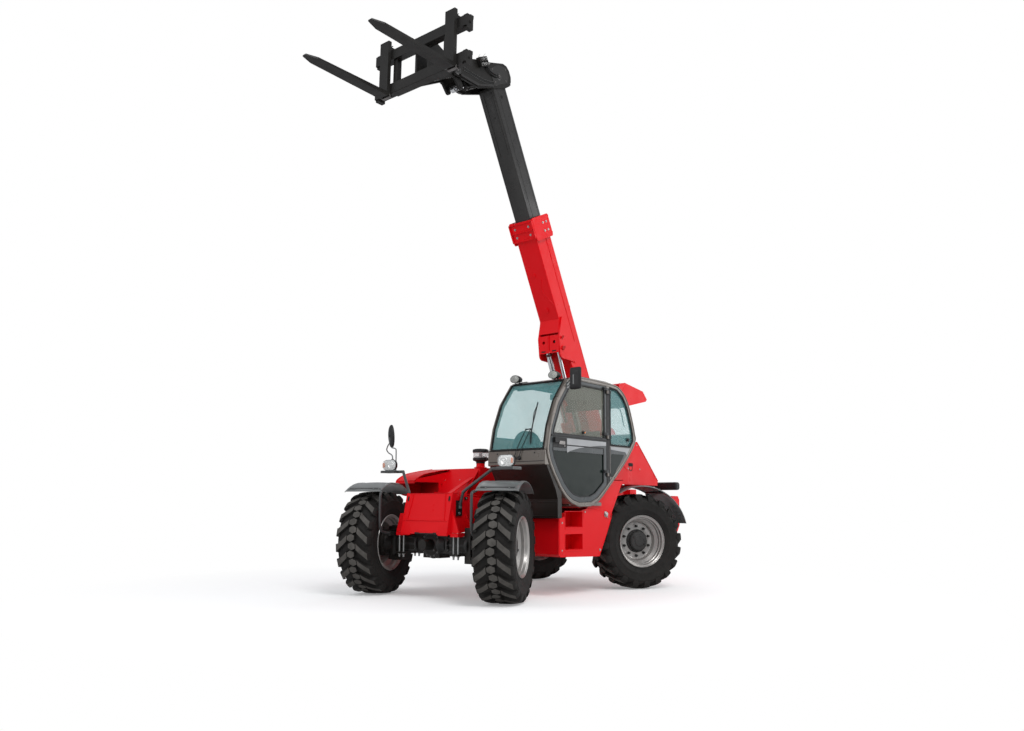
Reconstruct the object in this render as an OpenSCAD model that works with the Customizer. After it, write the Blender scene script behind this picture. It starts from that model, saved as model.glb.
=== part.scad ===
// Telehandler with a raised two-part boom and pallet forks.
// +X runs forward to the forks, +Y to the operator's left, +Z up.
// The origin lies on the ground below the middle of the whole machine.
// Sizes in the body are worked out from the middle of the wheelbase.

/* [Wheels] */
// Distance between the front and rear axles
wheel_base = 2810; // [2700:10:2950]
// Distance between the left and right kingpins
kingpin_span = 1420; // [1380:10:1460]
// Distance from a kingpin to the middle of its wheel
kingpin_offset = 250; // [240:5:280]
// Outside diameter of a tyre
tyre_d = 1220; // [1180:10:1260]
// Width of a tyre
tyre_w = 460; // [420:10:480]
// Outside diameter of the rim flange
rim_d = 660; // [620:10:690]
// Diameter of the hub spindle
spindle_d = 120; // [90:5:150]
// Left turn of the front left wheel
steer_fl = 27; // [0:1:30]
// Left turn of the front right wheel
steer_fr = 20; // [0:1:30]
// Right turn of the rear left wheel
steer_rl = 26; // [0:1:30]
// Right turn of the rear right wheel
steer_rr = 19; // [0:1:30]

/* [Mudguards] */
// Gap between the tread and a mudguard
guard_gap = 90; // [70:5:110]
// Thickness of a mudguard
guard_t = 20; // [10:1:30]
// Width of a mudguard
guard_w = 480; // [440:10:500]

/* [Chassis] */
// Width of the nose
nose_w = 740; // [700:10:780]
// Height of the nose's lower edge
nose_low = 730; // [700:10:780]
// Height of the nose's top
nose_top = 1185; // [1150:5:1190]
// Reach of the nose ahead of the front axle
nose_reach = 215; // [185:5:290]
// Plate thickness of the chassis
plate_t = 20; // [12:1:30]
// Reach of the counterweight behind the rear axle
tail_reach = 1045; // [1015:5:1195]
// Width of the counterweight
tail_w = 1900; // [1800:10:2000]

/* [Cab] */
// Height of the cab roof
cab_top = 2593; // [2560:1:2620]
// Distance from the centre line to the cab's inner wall
cab_in = 270; // [250:5:290]
// Distance from the centre line to the cab's door side
cab_out = 1130; // [1100:5:1160]
// Thickness of the cab's walls and door
cab_t = 40; // [30:1:50]
// Width of the cab's frame tube, seen from the side
cab_rim = 52; // [44:1:60]
// Gap around the door
door_gap = 6; // [5:1:9]
// Thickness of the glass
glass_t = 8; // [6:1:10]
// Diameter of the door's hinge pins
door_pin_d = 14; // [12:1:16]

/* [Boom] */
// Angle of the boom above the ground
boom_a = 64; // [60:1:68]
// Height of the boom's pivot
boom_z = 2020; // [1990:10:2060]
// Distance of the boom's pivot behind the middle of the wheelbase
boom_x = 1800; // [1780:10:1840]
// Width of the outer boom
outer_w = 320; // [310:2:330]
// Depth of the outer boom
outer_h = 320; // [310:2:330]
// Length of the outer boom from its pivot
outer_l = 3250; // [3100:10:3300]
// Width of the inner boom
inner_w = 250; // [240:2:260]
// Depth of the inner boom
inner_h = 260; // [250:2:270]
// Reach of the inner boom from the pivot
inner_end = 4960; // [4800:10:5000]
// Sheet thickness of both booms
boom_t = 10; // [8:1:14]
// Diameter of the boom's pivot pin
boom_pin_d = 80; // [60:2:90]

/* [Head] */
// Drop of the fork pivot below the line of the boom's pivot
head_drop = 925; // [915:1:935]
// Reach of the fork pivot along the boom
head_reach = 5245; // [5235:1:5270]
// Outside width of the head
head_w = 300; // [280:2:320]
// Diameter of the pin that the fork carriage turns on
tilt_pin_d = 50; // [40:2:60]

/* [Forks] */
// Upward tilt of the fork blades
fork_a = 1; // [0:1:6]
// Distance between the middles of the forks
fork_gap = 1120; // [960:10:1140]
// Length of a fork blade
fork_l = 1160; // [1000:10:1300]
// Width of a fork blade
fork_w = 150; // [110:5:160]
// Thickness of a fork blade
fork_t = 50; // [40:2:56]
// Width of the fork carriage
carriage_w = 1540; // [1520:10:1640]

/* [Cylinders] */
// Outside diameter of the lift cylinder
lift_d = 150; // [130:2:160]
// Outside diameter of the levelling cylinder
comp_d = 100; // [90:2:110]
// Outside diameter of the fork tilt cylinder
tilt_d = 100; // [90:2:110]
// Wall of a cylinder's barrel
barrel_t = 12; // [10:1:16]

/* [Hidden] */
$fn = 64;

// Running clearance of a pin in its bore
fit = 0.06;
// Clearance between faces that slide past each other
face = 0.3;
// Clearance between pieces that swing past each other
swing = 6;
// Small overlap that joins the pieces of one solid
eps = 0.5;

// The spine reaches out to the cab's inner wall
spine_w = 2 * (cab_in - face);
axle_x = wheel_base / 2;
axle_z = tyre_d / 2;
kingpin_y = kingpin_span / 2;
nose_x = axle_x + nose_reach;
nose_back = axle_x - 475;
tail_x = axle_x + tail_reach;
tail_front = axle_x + tyre_d / 2 + 220;
guard_r = tyre_d / 2 + guard_gap;

// Fork carriage, measured from its pivot
fork_back = 500;
fork_low = -348;
shank_top = 355;
blade_rise = 34;
// End of the lever below the carriage's pivot that tilts the forks
tilt_lever = [-109, -168];

// Middle of the machine along X, between the fork tips and the tail
fork_tip_x = pivot_x() + (fork_back + fork_t + fork_l) * cos(fork_a) - (fork_low + blade_rise) * sin(fork_a);
mid_x = (fork_tip_x - tail_x) / 2;

// Places along the boom, x along it and z towards its top face
boom_mid_z = -164;
collar_l = 260;
collar_side = 30;
lift_pin = [1500, -440];
comp_pin = [1640, -400];
lift_foot = [-1630, 1100];
comp_foot = [-1560, 1230];
tilt_foot = [inner_end + 130, -150];
lift_pin_d = 60;
comp_pin_d = 40;
lift_y = -76;
comp_y = 76;

function unit(v) = v / norm(v);
function turned(p, a) = [p[0] * cos(a) - p[1] * sin(a), p[0] * sin(a) + p[1] * cos(a)];
function boom_pt(p) = [-boom_x, boom_z] + turned(p, boom_a);
function pivot_x() = boom_pt([head_reach, -head_drop])[0];
function pivot_z() = boom_pt([head_reach, -head_drop])[1];
function tilt_pt() = [pivot_x(), pivot_z()] + turned(tilt_lever, fork_a);
function heading(a, b) = atan2(b[1] - a[1], b[0] - a[0]);

// Each corner of a convex outline moved inward by d
function corner_in(a, b, c, d) =
    let (u = unit(b - a), v = unit(c - b))
    let (m = unit([-u[1] - v[1], u[0] + v[0]]))
    b + m * d / (m * [-u[1], u[0]]);
function inset(p, d) = [for (i = [0 : len(p) - 1])
    corner_in(p[(i + len(p) - 1) % len(p)], p[i], p[(i + 1) % len(p)], d)];

// Moves a shape from the middle of the wheelbase into the machine's frame
module placed() {
    translate([-mid_x, 0, 0]) children();
}

// Extrudes an outline drawn in X and Z from y0 to y1
module slab(y0, y1) {
    translate([0, y1, 0]) rotate([90, 0, 0]) linear_extrude(y1 - y0) children();
}

// Box given by its low corner and its high corner
module block(lo, hi) {
    translate(lo) cube(hi - lo);
}

// Cylinder along Y between y0 and y1 at a point in X and Z
module pin_y(p, r, y0, y1) {
    translate([p[0], y1, p[1]]) rotate([90, 0, 0]) cylinder(r = r, h = y1 - y0);
}

// Straight bar of round section between two points
module bar(a, b, d) {
    v = b - a;
    translate(a)
        rotate([0, acos(v[2] / norm(v)), atan2(v[1], v[0])])
            cylinder(d = d, h = norm(v), $fn = 24);
}

// Boom frame, x along the boom and z towards its top face
module on_boom() {
    translate([-boom_x, 0, boom_z]) rotate([0, -boom_a, 0]) children();
}

// Fork carriage frame, its origin on the carriage's pivot
module on_carriage() {
    translate([pivot_x(), 0, pivot_z()]) rotate([0, -fork_a, 0]) children();
}

// Side outline of the cab, from the windscreen's foot around the roof and back
cab_outline = [[820, 1697], [765, 1960], [640, 2260], [433, 2530], [175, cab_top], [-404, cab_top - 8],
    [-640, 2560], [-790, 2470], [-898, 2328], [-985, 2120], [-1026, 1990], [-1035, 1870], [-817, 1614],
    [-386, 1245], [-200, 1105], [-50, 1050], [190, 1042], [340, 1077], [450, 1140], [560, 1240],
    [690, 1410], [773, 1548]];
door_hinge_x = -385;
hinge_z = [1420, 1880, 2440];
belt_z = 1850;

module half_plane(x0, x1) {
    translate([x0, 0]) square([x1 - x0, 4000]);
}

// Wheels
wheels = [
    ["fl", 1, 1, steer_fl],
    ["fr", 1, -1, steer_fr],
    ["rl", -1, 1, -steer_rl],
    ["rr", -1, -1, -steer_rr]];

// Kingpin frame of a wheel, y pointing outward along its axle
module on_kingpin(fore, side, turn) {
    placed() translate([fore * axle_x, side * kingpin_y, axle_z])
        rotate([0, 0, turn]) mirror([0, side < 0 ? 1 : 0, 0]) children();
}

tyre_half = tyre_w / 2;
bead_half = 195;
rim_r = rim_d / 2;

lugs = 20;
lug_h = 42;
// Half of a lug's length round the tread, and half of its width
lug_reach = 92;
lug_half = 33;
lug_out = tyre_half - 22;

// One slanted bar at the top of the tread, from the middle out to a shoulder
module lug(side) {
    top = sqrt(pow(tyre_d / 2, 2) - pow(lug_reach, 2));
    translate([0, side * 6, top]) rotate([-side * 3.7, 0, 0]) translate([0, 0, -lug_h - 40])
        linear_extrude(lug_h + 40) polygon([[-lug_reach, 0], [-lug_reach + 2 * lug_half, 0],
            [lug_reach, side * (lug_out - 6)], [lug_reach - 2 * lug_half, side * (lug_out - 6)]]);
}

module tyre(i) {
    w = wheels[i];
    r = tyre_d / 2 - lug_h;
    color([0.06, 0.06, 0.065]) on_kingpin(w[1], w[2], w[3]) translate([0, kingpin_offset, 0]) {
        rotate([90, 0, 0]) rotate_extrude($fn = 48) polygon([
            [rim_r - 22, -bead_half + 12], [rim_r + 14, -bead_half], [rim_r + 110, -tyre_half],
            [r - 62, -tyre_half + 3], [r - 24, -tyre_half + 34], [r, -tyre_half + 90],
            [r, tyre_half - 90], [r - 24, tyre_half - 34], [r - 62, tyre_half - 3],
            [rim_r + 110, tyre_half], [rim_r + 14, bead_half], [rim_r - 22, bead_half - 12]]);
        for (k = [0 : lugs - 1]) for (side = [-1, 1])
            rotate([0, (k + (side > 0 ? 0.5 : 0)) * 360 / lugs + asin(lug_reach * 2 / tyre_d), 0]) lug(side);
    }
}

hub_face = 60;
disc_t = 16;

module rim(i) {
    w = wheels[i];
    well = rim_r - 80;
    color([0.78, 0.79, 0.8]) on_kingpin(w[1], w[2], w[3]) translate([0, kingpin_offset, 0]) {
        rotate([90, 0, 0]) rotate_extrude($fn = 96) polygon([
            [rim_r, -bead_half - 10], [rim_r, -bead_half + 2 - face], [rim_r - 22 - face, -bead_half + 12],
            [rim_r - 28, -bead_half + 50], [well, -60], [well, 60], [rim_r - 28, bead_half - 50],
            [rim_r - 22 - face, bead_half - 12], [rim_r, bead_half - 2 + face], [rim_r, bead_half + 10],
            [rim_r - 12, bead_half + 10], [rim_r - 34, bead_half - 20], [rim_r - 40, bead_half - 56],
            [well - 12, 66], [well - 12, -66], [rim_r - 40, -bead_half + 56],
            [rim_r - 34, -bead_half + 20], [rim_r - 12, -bead_half - 10]]);
        difference() {
            union() {
                rotate([-90, 0, 0]) translate([0, 0, 20]) cylinder(r = well - 4, h = disc_t);
                rotate([-90, 0, 0]) cylinder(r = 150, h = 60);
                rotate([-90, 0, 0]) translate([0, 0, 60 - eps]) cylinder(r = 118, h = 80);
            }
            rotate([-90, 0, 0]) translate([0, 0, -eps]) cylinder(d = spindle_d + 2 * fit, h = 121);
        }
    }
}

module stay(a, b, c) {
    bar(a, b, 34);
    bar(b, c, 34);
    translate(b) sphere(d = 37, $fn = 24);
}

module guard(a0, a1) {
    steps = 10;
    outer = [for (i = [0 : steps]) let (a = a0 + (a1 - a0) * i / steps)
        (guard_r + guard_t) * [cos(a), sin(a)]];
    inner = [for (i = [steps : -1 : 0]) let (a = a0 + (a1 - a0) * i / steps)
        guard_r * [cos(a), sin(a)]];
    translate([0, kingpin_offset, 0]) slab(-guard_w / 2, guard_w / 2) polygon(concat(outer, inner));
}

yoke_h = 150;
kingpin_d = 60;

module knuckle(i) {
    w = wheels[i];
    front = w[1] > 0;
    a0 = front ? 58 : 62;
    a1 = front ? 125 : 150;
    back = guard_r * [cos(front ? 62 : 118), sin(front ? 62 : 118)];
    sx = front ? 1 : -1;
    on_kingpin(w[1], w[2], w[3]) {
        color([0.1, 0.1, 0.1]) {
            cylinder(d = 150, h = 2 * (yoke_h - 1), center = true);
            cylinder(d = kingpin_d, h = 2 * (yoke_h + 46), center = true);
            rotate([-90, 0, 0]) cylinder(r = 110, h = kingpin_offset - 30);
            rotate([-90, 0, 0]) translate([0, 0, 95]) cylinder(r = 160, h = kingpin_offset - hub_face - 95);
            rotate([-90, 0, 0]) translate([0, 0, 95]) cylinder(r = 148, h = kingpin_offset - face - 95);
            rotate([-90, 0, 0]) cylinder(d = spindle_d, h = kingpin_offset + 120 - 1);
            bar([sx * 20, 0, yoke_h - 40], [sx * 170, -14, yoke_h - 40], 60);
        }
        color([0.16, 0.17, 0.18]) {
            stay([sx * 150, -14, yoke_h - 40], [sx * (tyre_d / 2 + 45), -14, 190],
                [back[0], 24, back[1] + guard_t / 2]);
            guard(a0, a1);
        }
    }
}

// Axle beams with their kingpin yokes
module axle(fore) {
    color([0.1, 0.1, 0.1]) placed() translate([fore * axle_x, 0, axle_z]) difference() {
        union() {
            rotate([0, fore * 90, 0]) translate([0, 0, -150]) cylinder(r = 150, h = 240);
            rotate([0, fore * 90, 0]) cylinder(r = 62, h = 235);
            block([-86, -130, -150], [86, 130, 100]);
            for (s = [-1, 1]) {
                block([-80, min(s * 120, s * (kingpin_y - 110)), -95],
                    [80, max(s * 120, s * (kingpin_y - 110)), 95]);
                block([-75, min(s * (kingpin_y - 200), s * (kingpin_y - 110)), -yoke_h - 46],
                    [75, max(s * (kingpin_y - 200), s * (kingpin_y - 110)), yoke_h + 46]);
                for (t = [-1, 1]) {
                    z0 = t > 0 ? yoke_h : -yoke_h - 46;
                    block([-75, min(s * (kingpin_y - 200), s * kingpin_y), z0],
                        [75, max(s * (kingpin_y - 200), s * kingpin_y), z0 + 46]);
                    translate([0, s * kingpin_y, z0]) cylinder(r = 75, h = 46);
                }
            }
            block([-95, -260, 90], [95, 260, spine_low - axle_z]);
        }
        for (s = [-1, 1])
            translate([0, s * kingpin_y, -300]) cylinder(d = kingpin_d + 2 * fit, h = 600);
    }
}

// Chassis: spine, nose and the two towers that carry the boom
tower_y0 = outer_w / 2 + 40;
tower_t = 30;
spine_low = 762 + (tyre_d - 1220) / 2;
deck_z = 1080;

module nose_shape() {
    polygon([[nose_back, nose_low + 60], [nose_x, nose_low], [nose_x - 30, nose_low + 152],
        [nose_x - 90, nose_top], [nose_back, nose_top - 60]]);
}

// Y of the faces of the three ears below the cylinders
foot_y = [lift_y - lift_d / 2 - 32, lift_y - lift_d / 2 - 8, 7, 18, comp_y + comp_d / 2 + 8,
    comp_y + comp_d / 2 + 32];
trough_z = 940;

module ear_shape(a, b) {
    hull() {
        translate([a[0] - 70, trough_z - 20]) square([140, 10]);
        translate(a) circle(r = 66);
        translate(b) circle(r = 46);
    }
}

// Clamp that holds the front axle beam below the nose
foot_mid = kingpin_y - 270;

module foot(s) {
    beam = 95 + face;
    translate([axle_x, s * foot_mid, axle_z]) {
        block([-135, -60, beam], [175, 60, nose_low - axle_z - 3]);
        block([-135, -60, -beam - 18], [165, 60, -beam]);
        for (x = [-110, 140]) for (y = [-35, 35])
            translate([x, y, -beam - 1]) cylinder(d = 22, h = 2 * beam + 2);
    }
}

module chassis() {
    color([0.86, 0.07, 0.06]) placed() {
        difference() {
            union() {
                // nose box with a pulled-back front
                slab(-nose_w / 2, nose_w / 2) nose_shape();
                // spine between the axles and on to the tail
                block([-tail_front + face, -spine_w / 2, spine_low], [nose_back + 30, spine_w / 2, deck_z]);
                for (s = [-1, 1])
                    slab(s > 0 ? tower_y0 : -tower_y0 - tower_t, s > 0 ? tower_y0 + tower_t : -tower_y0)
                        difference() {
                            hull() {
                                translate([-boom_x, boom_z]) circle(r = 150);
                                translate([-2200, 900]) square([1150, 20]);
                            }
                            translate([-1990, 1260]) square([160, 220]);
                        }
                // brackets over the axle clamps
                for (s = [-1, 1]) {
                    block([axle_x - 135, min(s * 280, s * (foot_mid + 62)), nose_low - 4],
                        [axle_x + 175, max(s * 280, s * (foot_mid + 62)), nose_low + 16]);
                    foot(s);
                }
            }
            // towing slots in the nose's top corners
            for (s = [-1, 1]) translate([nose_x - 60, s * 320, nose_top - 60]) rotate([0, 90, 0])
                cylinder(d = 30, h = 200, center = true);
            // hollow of the nose, open below
            block([nose_back + 50, -nose_w / 2 + plate_t, nose_low + 17],
                [nose_x - 110, nose_w / 2 - plate_t, nose_top - 105]);
            block([nose_back + 50, -260, nose_low - 20], [nose_x - 110, 260, nose_low + 20]);
            // room for the lift and levelling cylinders in the spine
            block([lift_foot[0] - 110, foot_y[0], trough_z], [-500, foot_y[5], deck_z + 1]);
        }
        // saddle that the front axle is bolted to
        block([axle_x - 90, -200, spine_low + face], [axle_x + 90, 200, nose_top - 104]);
        // pins of the boom and the cylinders
        pin_y([-boom_x, boom_z], boom_pin_d / 2, -tower_y0 - tower_t - 12, tower_y0 + tower_t + 12);
        pin_y(lift_foot, lift_pin_d / 2, foot_y[0] - 1, foot_y[3]);
        pin_y(comp_foot, comp_pin_d / 2, foot_y[2], foot_y[5] + 1);
        // ears that the cylinders stand in
        slab(foot_y[0] - 0.5, foot_y[1]) ear_shape(lift_foot, lift_foot);
        slab(foot_y[2], foot_y[3]) ear_shape(lift_foot, comp_foot);
        slab(foot_y[4], foot_y[5] + 0.5) ear_shape(comp_foot, comp_foot);
    }
}

module counterweight() {
    color([0.86, 0.07, 0.06]) placed() difference() {
        slab(-tail_w / 2, tail_w / 2) polygon([[-tail_front, 700], [-tail_front, 1190], [-tail_front - 27, 1204],
            [-tail_x + 40, 1204], [-tail_x, 1150], [-tail_x, 800], [-tail_x + 70, 700]]);
        block([-tail_x - 10, -200, 690], [-tail_front - 65, 200, 820]);
    }
    color([0.86, 0.07, 0.06]) placed()
        block([-tail_x + 50, -spine_w / 2, 1204 + face], [-tail_front - 1, spine_w / 2, 1300]);
}

// Left side body: tank, steps and the cover behind the cab
module body_left() {
    color([0.86, 0.07, 0.06]) placed() {
        difference() {
            slab(spine_w / 2 + face, 1080) polygon([[520, 500], [520, 905], [-60, 1030],
                [-500, 985], [-543, 901], [-290, 452], [480, 470]]);
            for (z = [540, 800]) block([60, 900, z], [400, 1100, z + 190]);
        }
        difference() {
            slab(420, 960) polygon([[-560, 1383], [-822, 1608], [-1043, 1866], [-1045, 1900], [-1330, 1905],
                [-1400, 1850], [-1860, 1400], [-1860, 1370], [-560, 1370]]);
            pin_y([-1180, 1560], 40, 900, 1000);
        }
        block([-1840, tower_y0 + tower_t + face, 1371], [-1310, 422, 1400]);
    }
}

// Engine side
module engine_hood() {
    color([0.86, 0.07, 0.06]) placed() {
        difference() {
            slab(-1130, -spine_w / 2 - face) polygon([[-620, 960], [400, 960], [400, 1470],
                [380, 1525], [-700, 1570], [-860, 1540], [-940, 1460], [-940, 1350], [-780, 1345], [-620, 1180]]);
            translate([-1500, -1145, 1400]) rotate([35, 0, 0]) translate([0, -300, 0]) cube([2200, 300, 400]);
            block([-560, -1090, 900], [340, -330, 1440]);
        }
        // thin wing above the right front mudguard
        difference() {
            slab(-1130, -790) polygon([[400 - eps, 960], [590, 960], [600, 1345], [1020, 1345], [1030, 1362],
                [1000, 1380], [400 - eps, 1490]]);
            block([430, -1100, 1000], [560, -780, 1330]);
        }
    }
}

module engine_block() {
    color([0.15, 0.15, 0.16]) placed() {
        block([-520, -1000, 900], [260, -400, 1380]);
        block([-480, -900, 830], [200, -spine_w / 2 - face, 900.5]);
    }
}

module air_intake() {
    color([0.07, 0.07, 0.07]) placed() translate([150, -480, 0]) {
        translate([0, 0, 1537.5]) cylinder(d = 110, h = 78);
        translate([0, 0, 1600]) cylinder(d = 200, h = 70);
        translate([0, 0, 1669]) cylinder(d = 160, h = 60);
        translate([0, 0, 1728]) cylinder(d = 210, h = 66);
    }
}

// Cab
cab_side_y = cab_out - cab_t;

module cab_ring(y0, y1, rim_w) {
    slab(y0, y1) difference() {
        polygon(cab_outline);
        polygon(inset(cab_outline, rim_w));
    }
}

module cab_frame() {
    glass_seat = cab_in + cab_t;
    color([0.42, 0.4, 0.37]) placed() difference() {
        union() {
            // door side ring with its pillar behind the door
            cab_ring(cab_side_y, cab_out, cab_rim);
            slab(cab_side_y, cab_out) intersection() {
                polygon(inset(cab_outline, 20));
                half_plane(door_hinge_x - 75, door_hinge_x - 8);
            }
            // lower quarter panel and belt rail behind the door
            slab(cab_side_y, cab_out) intersection() {
                polygon(inset(cab_outline, 20));
                translate([-1200, 1000]) square([1200 + door_hinge_x - 20, 800]);
            }
            // boom side wall, solid below the belt
            cab_ring(cab_in, glass_seat, cab_rim);
            slab(cab_in, glass_seat) intersection() {
                polygon(inset(cab_outline, 20));
                translate([-1200, 1000]) square([2200, belt_z - 1000]);
            }
            // floor and cross rails
            block([-330, cab_in + 5, 1060], [330, cab_out - 5 - 40, 1100]);
            slab(cab_in + cab_t - eps, cab_side_y + eps) polygon([[433, 2530], [175, cab_top], [175, cab_top - 45], [400, 2480]]);
            slab(cab_in + cab_t - eps, cab_side_y + eps) polygon([[-790, 2470], [-898, 2328], [-850, 2310], [-745, 2440]]);
            slab(cab_in + cab_t - eps, cab_side_y + eps) polygon([[-1026, 1990], [-1035, 1870], [-985, 1870], [-980, 1975]]);
            // rear wall below the glass
            slab(cab_in + 5, cab_out - 5) polygon([[-1035, 1870], [-817, 1614], [-386, 1245], [-330, 1202],
                [-318, 1240], [-790, 1645], [-990, 1880]]);
            slab(cab_in + 5, cab_side_y) polygon([[-386, 1245], [-200, 1105], [-50, 1050], [-40, 1090],
                [-180, 1140], [-340, 1260]]);
            // footwell wall
            slab(cab_in + 5, cab_side_y) polygon([[190, 1042], [340, 1077], [450, 1140], [560, 1240], [690, 1410],
                [773, 1548], [740, 1560], [660, 1430], [530, 1265], [430, 1170], [320, 1110], [190, 1080]]);
            // blocks that carry the door's hinge pins
            for (z = hinge_z) translate([door_hinge_x, cab_out + 12, z]) cylinder(d = 26, h = 40);
            for (z = hinge_z) block([door_hinge_x - 70, cab_out - 10, z],
                [door_hinge_x, cab_out + 26, z + 40]);
        }
        for (z = hinge_z)
            translate([door_hinge_x, cab_out + 12, z - 1]) cylinder(d = door_pin_d + 2 * fit, h = 42);
    }
}

module cab_roof() {
    color([0.2, 0.2, 0.2]) placed() slab(cab_in + cab_t + face, cab_side_y - face)
        polygon([[175 - face, cab_top - 2], [-404, cab_top - 10], [-640, 2558], [-788, 2470],
            [-743, 2441], [-610, 2520], [-400, 2545], [175 - face, cab_top - 46]]);
}

module cab_front_panel() {
    color([0.42, 0.4, 0.37]) placed() {
        slab(cab_in + cab_t + face, cab_side_y - face) polygon([[820, 1697], [773, 1548],
            [741, 1560], [778, 1690]]);
        slab(cab_in, cab_out) difference() {
            polygon([[600, 1275], [792, 1515], [840, 1515], [840, 1690], [800, 1690], [600, 1290]]);
            polygon(inset(cab_outline, -face));
        }
    }
    // dark skirt below the panel
    color([0.06, 0.05, 0.05]) placed()
        slab(cab_in, cab_out) difference() {
            polygon([[560, 910], [600, 910], [640, 1240], [800, 1500],
                [792, 1514.7], [600, 1274.7], [580, 1260], [522, 1190], [522, 910]]);
            polygon(inset(cab_outline, -face));
        }
}

module cab_glass() {
    color([0.6, 0.75, 0.75, 0.4]) placed() {
        // boom side window
        slab(cab_in + cab_t / 2, cab_in + cab_t / 2 + glass_t) intersection() {
            polygon(inset(cab_outline, cab_rim + face));
            translate([-1200, belt_z + face]) square([2200, 1000]);
        }
        // quarter window behind the door
        slab(cab_out - cab_t / 2, cab_out - cab_t / 2 + glass_t) intersection() {
            polygon(inset(cab_outline, cab_rim + face));
            translate([-1200, 1800 + face]) square([1200 + door_hinge_x - 75 - face, 1000]);
        }
        // rear window
        slab(cab_in + cab_t + face, cab_side_y - face) polygon([[-899, 2326], [-985, 2120], [-1026, 1991],
            [-1018, 1991], [-977, 2118], [-891, 2324]]);
    }
}

module windscreen() {
    color([0.6, 0.75, 0.75, 0.4]) placed() slab(cab_in + cab_t + face, cab_side_y - face)
        polygon([[820, 1698], [765, 1960], [640, 2260], [436, 2526], [429.6, 2521], [633, 2256],
            [757, 1957], [812, 1698]]);
}

module seat() {
    color([0.08, 0.08, 0.08]) placed() translate([0, 700, 0]) {
        slab(-180, 180) polygon([[-170, 1137], [-67, 1100 + face], [60, 1100 + face], [60, 1380], [-170, 1380]]);
        block([-450, -240, 1380 - eps], [50, 240, 1480]);
        slab(-230, 230) polygon([[-450, 1440], [-370, 1480], [-490, 2010], [-570, 2010]]);
    }
}

module steering_column() {
    color([0.08, 0.08, 0.08]) placed() translate([0, 700, 0]) {
        translate([400, 0, 1168]) rotate([0, -18.8, 0]) {
            cylinder(d = 90, h = 600);
            translate([0, 0, 590]) rotate_extrude() translate([180, 0]) circle(d = 30, $fn = 24);
            for (a = [0, 120, 240]) rotate([0, 0, a]) translate([0, -12, 584]) cube([180, 24, 12]);
        }
    }
}

module wiper() {
    top = [793, 850, 1930];
    color([0.05, 0.05, 0.05]) placed() {
        for (y = [690, 760]) {
            bar([840 + face, y, 1600], [862, y, 1600], 40);
            bar([856, y, 1600], [852, y + 40, 1700], 12);
            bar([852, y + 40, 1699], [top[0], y + 130, top[2]], 12);
        }
        bar([top[0], 800, top[2]], [787, 900, 1934], 14);
        // blade that follows the glass
        bar([819, 904, 1760], [781, 898, 1962], 14);
        bar([781, 898, 1960], [657, 884, 2260], 14);
    }
}

module round_lamp(p, d, l) {
    translate(p) rotate([0, 90, 0]) cylinder(d1 = d * 0.6, d2 = d, h = l * 0.6);
    translate(p + [l * 0.6 - eps, 0, 0]) rotate([0, 90, 0]) cylinder(d = d, h = l * 0.4);
}

module lamps() {
    color([0.85, 0.85, 0.85]) placed() {
        // work lamps on the roof's front edge
        for (y = [400, 990]) {
            round_lamp([410, y, 2588], 110, 110);
            translate([413, y, 2538.6]) cylinder(d = 24, h = 60);
        }
        // head lamps
        for (s = [-1, 1]) {
            y = s > 0 ? 1010 : -880;
            hull() {
                block([1290, y - 100, 1480], [1300, y + 100, 1600]);
                block([1390, y - 120, 1470], [1400, y + 120, 1610]);
            }
        }
        // rear lamps
        for (s = [-1, 1]) bar([-2200, s * 720, 1345], [-2200, s * 1080, 1345], 100);
    }
}

module lamp_arms() {
    color([0.16, 0.17, 0.18]) placed() for (s = [-1, 1]) {
        // tray and tube of a head lamp
        y = s > 0 ? 1010 : -880;
        block([1255, y - 125, 1445], [1400, y + 125, 1470 - face]);
        stay([1340, y - s * 110, 1457], [1340, y - s * 220, 1457], [1420, s * 480, 1240]);
        stay([1420, s * 482, 1243], [1440, s * 440, 1200], [1440, s * (nose_w / 2 + 16.5), 1040]);
        // arm of a rear lamp
        mirror([0, s < 0 ? 1 : 0, 0]) {
            block([-2215, 400, 1330], [-2185, 720 - face, 1360]);
            block([-2215, 400, 1330], [-2060, 430, 1360]);
            block([-2090, tower_y0 + tower_t + face, 1330], [-2060, 430, 1360]);
        }
    }
}

module mirrors() {
    color([0.05, 0.05, 0.05]) placed() {
        // right mirror on a tall stalk
        bar([1275, -930, 1470], [1275, -930, 1840], 24);
        hull() for (z = [1840, 1975]) translate([1285, -930, z]) rotate([0, 90, 0]) {
            cylinder(d1 = 100, d2 = 150, h = 26, $fn = 32);
            translate([0, 0, 26]) cylinder(d = 150, h = 10, $fn = 32);
        }
        // left mirror on the cab's front pillar
        bar([430, 1136.2, 2480], [560, 1340, 2500], 22);
        hull() {
            block([570, 1270, 2380], [576, 1430, 2640]);
            block([540, 1300, 2410], [550, 1400, 2610]);
        }
    }
}

module rear_cowl() {
    color([0.86, 0.07, 0.06]) placed() difference() {
        slab(cab_in + 40, cab_out - 60) polygon([[-790.4, 2470.4], [-760, 2610], [-900, 2640],
            [-1330, 2570], [-1430, 2470], [-1400, 2440], [-898.4, 2328.4]]);
        slab(cab_in + 60, cab_out - 80) polygon([[-840, 2410], [-840, 2590], [-900, 2600], [-1310, 2540],
            [-1400, 2400], [-1300, 2300], [-880, 2200]]);
    }
}

// Door
module door_outline(d) {
    intersection() {
        polygon(inset(cab_outline, d));
        half_plane(door_hinge_x + d - cab_rim - door_gap + 2, 2000);
    }
}

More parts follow.
